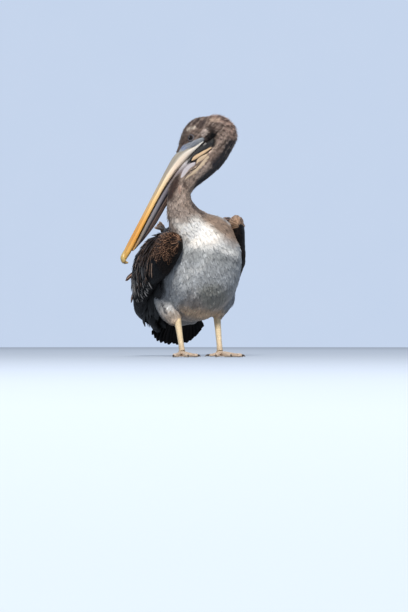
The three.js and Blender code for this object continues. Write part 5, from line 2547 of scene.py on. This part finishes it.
@dataclass
class Leg:
    """One bare leg and its webbed foot."""

    side: Side
    hock: tuple[float, float, float]
    ankle: tuple[float, float, float]
    radius: float = 7.4
    foot_length: float = 98.0
    web: float = 1.9
    claw: float = 11.0
    knuckle: float = 9.2
    toes: tuple[Toe, ...] = (Toe(-24, 0.93, 5.2), Toe(-3, 1.0, 5.4), Toe(20, 0.76, 4.8), Toe(78, 0.3, 4.0))
    leg_finish: ScaleFinish = ScaleFinish("leg_scales", 330.0)
    web_finish: ScaleFinish = ScaleFinish("web_skin", 420.0, 0.0004)
    claw_finish: HornFinish = HornFinish("claw_horn", 0.32, 0.7)

    def toe_place(self, toe: Toe, reach: float) -> tuple[float, float]:
        """Where a toe is on the ground at a share of the foot's length.

        Args:
            toe: Which toe.
            reach: The share of the foot's length.

        Returns:
            Its x and y, in bird millimetres.
        """
        angle = math.radians(toe.bearing)
        away = reach * self.foot_length
        return (
            self.ankle[0] - self.side.value * math.sin(angle) * away,
            self.ankle[1] - math.cos(angle) * away,
        )

    def tarsus(self) -> Piece:
        """Models the leg from the feathers to the ankle.

        Returns:
            The piece.
        """
        r = self.radius
        hock, ankle = np.array(self.hock, float), np.array(self.ankle, float)
        lean = [hock + share * (ankle - hock) for share in (0.3, 0.75)]
        form = swept(
            (hock[0], hock[1] + 2, hock[2] + 14, 1.1 * r, 1.15 * r),
            (*hock, 1.22 * r, 1.35 * r),
            (*lean[0], 1.08 * r, 1.2 * r),
            (*lean[1], 0.95 * r, 1.2 * r),
            (*ankle, 1.05 * r, 1.2 * r),
            top=(0, 1, 0),
        )

        def placing(along: Array, angle: Array) -> Array:
            """The leg's surface, with its scutes and tendon."""
            front = np.clip(-np.sin(angle), 0, 1)
            scute = 0.28 * np.cos(along * 2 * math.pi * 26) * front**0.5
            tendon = 0.5 * np.exp(-((np.degrees(np.arctan2(np.cos(angle), np.sin(angle))) / 16) ** 2))
            return form.surface(along, angle, scute + tendon - 0.35)

        def colouring(along: Array, angle: Array) -> Array:
            """The leg's marking, with painted shade down its back."""
            base = plain(0xFFE9C2, along)
            base = layered(base, ramp(0.6, 1.0, along) * 0.7, 0xD9C2A8)
            # Painted shade: darker down the back of the leg.
            return layered(base, np.clip(np.sin(angle), 0, 1) * 0.4, 0xB49C78)

        piece = tube(150, 40, placing, colouring)
        word = self.side.word
        part = Part(f"shank_{word}", (f"leg_{word}",), "leg_skin", self.leg_finish.material())
        return part.settle(piece)

    def toe(self, toe: Toe) -> Piece:
        """Models one toe, ringed with scutes.

        Args:
            toe: Which toe.

        Returns:
            The closed toe.
        """
        r = toe.radius
        form = swept(
            (self.ankle[0], self.ankle[1] + 3, 9, 1.5 * r, r),
            (*self.toe_place(toe, 0.25 * toe.reach), 8, 1.15 * r, 1.1 * r),
            (*self.toe_place(toe, 0.6 * toe.reach), 4.8, r, r),
            (*self.toe_place(toe, 0.9 * toe.reach), 4.2, 0.95 * r, 0.9 * r),
            (*self.toe_place(toe, toe.reach), 3.6, 0.7 * r, 0.7 * r),
        )
        rings = round(toe.reach * self.foot_length / 3.4)

        def placing(along: Array, angle: Array) -> Array:
            """The toe's surface, with its rings and joints."""
            top = np.clip(np.sin(angle), 0, 1) ** 0.5
            scute = 0.35 * np.cos(along * 2 * math.pi * rings) * top
            joints = [np.exp(-(((along - place) / 0.05) ** 2)) for place in (0.45, 0.75)]
            knuckle = 0.5 * (joints[0] + joints[1])
            places = form.surface(along, angle, scute + knuckle - 0.4)
            places[:, 2] = np.maximum(places[:, 2], 0.15)
            return places

        def colouring(along: Array, angle: Array) -> Array:
            """The toe's marking, darker between its rings."""
            base = plain(0xE6D2BE, along)
            ring = np.clip(np.cos(along * 2 * math.pi * rings), -1, 1)
            return layered(base, (0.5 - 0.5 * ring) * 0.45, 0x9C8674)

        return tube(max(60, rings * 6), 24, placing, colouring)

    def webbing(self, first: Toe, second: Toe, last: bool) -> Piece:
        """Models the web between two toes, slack and finely folded.

        Args:
            first: The outer of the two toes.
            second: The inner of the two.
            last: Whether this is the web to the hind toe.

        Returns:
            The web.
        """
        piece = grid(36, 36)
        flat = per_vertex(piece.data)
        a, r = flat[:, 0] + 0.5, flat[:, 1] + 0.5
        tip_a = np.array(self.toe_place(first, first.reach - 0.03))
        tip_b = np.array(self.toe_place(second, second.reach - 0.03))
        between = Toe((first.bearing + second.bearing) / 2, 0, 0)
        bend = np.array(self.toe_place(between, (first.reach + second.reach) * (0.3 if last else 0.42)))
        edge = (1 - a)[:, None] ** 2 * tip_a + (2 * a * (1 - a))[:, None] * bend + (a**2)[:, None] * tip_b
        heel = np.array((self.ankle[0], self.ankle[1] + 2))
        ground = heel + (edge - heel) * (0.04 + 0.96 * r)[:, None]
        slack = np.abs(2 * a - 1) ** 3
        pleat = 0.35 * np.sin(a * 31 + 2 * np.sin(r * 5)) * ramp(0.2, 0.6, r) + 0.3 * np.sin(r * 23 + a * 4)
        height = self.web + 3.2 * slack * (1 - 0.5 * r) + 5 * (1 - ramp(0.0, 0.3, r)) + pleat * (1 - slack)
        places = np.column_stack([ground, np.maximum(height, 1.7)])
        set_coordinates(piece.data, to_model(places))
        base = plain(0xDCC6B2, a)
        base = layered(base, (1 - slack) * 0.5, 0xA08A7C)
        base = layered(base, ramp(0.86, 1.0, r) * 0.6, 0xD9CABA)
        store(piece.data, "Marking", base)
        lone(piece)
        thick = piece.modifiers.new("thickness", "SOLIDIFY")
        thick.thickness = 1.4 * MM
        thick.offset = -1.0 if self.side is Side.RIGHT else 1.0
        bpy.ops.object.modifier_apply(modifier="thickness")
        tidy_mesh(piece)
        return piece

    def foot(self) -> Piece:
        """Models the toes, the webs between them and the knuckle of the ankle.

        Returns:
            The piece.
        """
        pieces = [self.toe(toe) for toe in self.toes]
        for i, (first, second) in enumerate(zip(self.toes[:-1], self.toes[1:])):
            pieces.append(self.webbing(first, second, i == len(self.toes) - 2))
        middle = np.array((self.ankle[0], self.ankle[1] + 2, 10.0))

        def placing(along: Array, angle: Array) -> Array:
            """The surface of the ankle's knuckle."""
            turn = along * math.pi
            ring = np.sin(turn)[:, None]
            off = np.stack([np.cos(angle), np.sin(angle), np.zeros_like(angle)], axis=1) * ring
            off[:, 2] = -np.cos(turn)
            return middle + off * self.knuckle

        def colouring(along: Array, _: Array) -> Array:
            """The knuckle's plain marking."""
            return plain(0xD8C2A4, along)

        pieces.append(tube(24, 24, placing, colouring))
        piece = merged("foot", pieces)
        word = self.side.word
        part = Part(f"webbed_foot_{word}", (f"foot_{word}",), "web_skin", self.web_finish.material())
        return part.settle(piece)

    def claws(self) -> list[Piece]:
        """Models the claws.

        Returns:
            The pieces.
        """
        material = self.claw_finish.material()
        made = []
        for i, toe in enumerate(self.toes):
            share = self.claw / self.foot_length
            form = swept(
                (*self.toe_place(toe, toe.reach - 0.03), 4.2, 2.4, 2.6),
                (*self.toe_place(toe, toe.reach + 0.45 * share), 4.4, 2, 2.2),
                (*self.toe_place(toe, toe.reach + share), 1.4, 0.7, 0.7),
            )

            def placing(along: Array, angle: Array, form: Sweep = form) -> Array:
                """The claw's surface."""
                return form.surface(along, angle, -0.05)

            def colouring(along: Array, angle: Array) -> Array:
                """The claw's marking, paler at its tip."""
                base = plain(0x4A3F38, along)
                return layered(base, ramp(0.6, 1.0, along) * 0.6, 0x8F7F70)

            piece = tube(24, 20, placing, colouring)
            node = f"claw_{self.side.word}_{i + 1}"
            made.append(Part(f"toe_{node}", (node,), "claw_horn", material).settle(piece))
        return made

    def build(self) -> list[Piece]:
        """Models the leg, the foot and its claws."""
        return [self.tarsus(), self.foot(), *self.claws()]


# ---------- Studio ----------
@dataclass(frozen=True)
class Lamp:
    """A square soft light: its place and size in metres, its power in watts and its colour."""

    name: str
    place: tuple[float, float, float]
    size: float
    power: float
    tint: Rgb


@dataclass
class Studio:
    """A pale floor ringed by a pale blue backdrop, soft lights and the camera."""

    bearing: float = 12.0
    aim_bearing: float = 12.156
    aim_rise: float = 1.3516
    distance: float = 3.6
    eye_height: float = 0.040
    lens: float = 86.435
    film: float = 36.0
    floor_colour: int = 0xC6D3E6
    sky_colour: int = 0xC4D4EC
    glow: float = 1.0
    floor_glow: float = 0.45
    room_tint: tuple[float, float, float, float] = (0.80, 0.88, 1.0, 1.0)
    room_light: float = 0.27
    aim: tuple[float, float, float] = (0.0, 0.0, 0.3)
    lamps: tuple[Lamp, ...] = (
        Lamp("key", (-0.9, -3.5, 2.8), 0.6, 200.0, (1.0, 0.95, 0.88)),
        Lamp("fill", (2.4, -2.6, 0.9), 2.2, 6.0, (0.9, 0.95, 1.0)),
        Lamp("rim", (0.8, 2.6, 2.4), 1.4, 16.0, (0.95, 0.97, 1.0)),
    )

    def backdrop(self) -> None:
        """Models the floor and the backdrop."""
        bpy.ops.object.select_all(action="DESELECT")
        bpy.ops.mesh.primitive_plane_add(size=11.0, location=(0, 0, 0))
        floor = bpy.context.object
        floor.name = "floor"
        floor.data.materials.append(StageFinish("pale_floor", self.floor_colour, self.floor_glow).material())
        floor.visible_diffuse = False
        bpy.ops.object.select_all(action="DESELECT")
        bpy.ops.mesh.primitive_cylinder_add(
            vertices=96, radius=5.4, depth=9.0, end_fill_type="NOTHING", location=(0, 0, 4.4)
        )
        wall = bpy.context.object
        wall.name = "backdrop"
        bpy.ops.object.shade_smooth()
        wall.data.materials.append(StageFinish("pale_sky", self.sky_colour, self.glow).material())
        wall.visible_diffuse = False
        wall.visible_shadow = False

    def light(self, lamp: Lamp) -> None:
        """Adds a lamp that faces the bird.

        Args:
            lamp: The lamp.
        """
        data = bpy.data.lights.new(lamp.name, "AREA")
        data.shape = "SQUARE"
        data.size = lamp.size
        data.energy = lamp.power
        data.color = lamp.tint
        piece = bpy.data.objects.new(lamp.name, data)
        bpy.context.collection.objects.link(piece)
        piece.location = lamp.place
        way = Vector(self.aim) - Vector(lamp.place)
        piece.rotation_euler = way.to_track_quat("-Z", "Y").to_euler()

    def lights(self) -> None:
        """Adds the lamps and the room's own light."""
        for lamp in self.lamps:
            self.light(lamp)
        world = bpy.data.worlds.new("room")
        world.use_nodes = True
        world.node_tree.nodes["Background"].inputs[0].default_value = self.room_tint
        world.node_tree.nodes["Background"].inputs[1].default_value = self.room_light
        bpy.context.scene.view_settings.view_transform = "Standard"
        bpy.context.scene.world = world

    def camera(self) -> None:
        """Places the camera low in front of the bird, a little to its right."""
        angle = math.radians(self.bearing)
        offset = np.array((-math.sin(angle), -math.cos(angle), 0)) * self.distance
        place = to_model(np.zeros(3)) + offset
        place[2] = self.eye_height
        turn, rise = math.radians(self.aim_bearing), math.radians(self.aim_rise)
        way = Vector((math.sin(turn) * math.cos(rise), math.cos(turn) * math.cos(rise), math.sin(rise)))
        data = bpy.data.cameras.new("camera")
        data.lens = self.lens
        data.sensor_width = self.film
        camera = bpy.data.objects.new("camera", data)
        camera.location = place
        camera.rotation_euler = way.to_track_quat("-Z", "Y").to_euler()
        bpy.context.collection.objects.link(camera)
        bpy.context.scene.camera = camera

    def build(self) -> None:
        """Sets everything up."""
        self.camera()
        self.backdrop()
        self.lights()


def main() -> None:
    """Builds the bird from the skin outwards, then the studio."""
    logging.basicConfig(level=logging.INFO, format="%(name)s: %(message)s")
    Studio().build()
    skin = Skin().build()
    Coat(skin).build()
    right_wing().build()
    left_wing().build()
    Scapulars(Side.RIGHT, SCAPULAR_RIGHT, TUFT).build()
    Scapulars(Side.LEFT, SCAPULAR_LEFT).build()
    Tail().build()
    Bill().build()
    Gape(BVHTree.FromObject(skin, bpy.context.evaluated_depsgraph_get())).build()
    Eyes().build()
    Leg(Side.RIGHT, (-50, 30, 90), (-42, 14, 15)).build()
    Leg(Side.LEFT, (50, 30, 94), (53, 14, 15)).build()


if __name__ == "__main__":
    main()
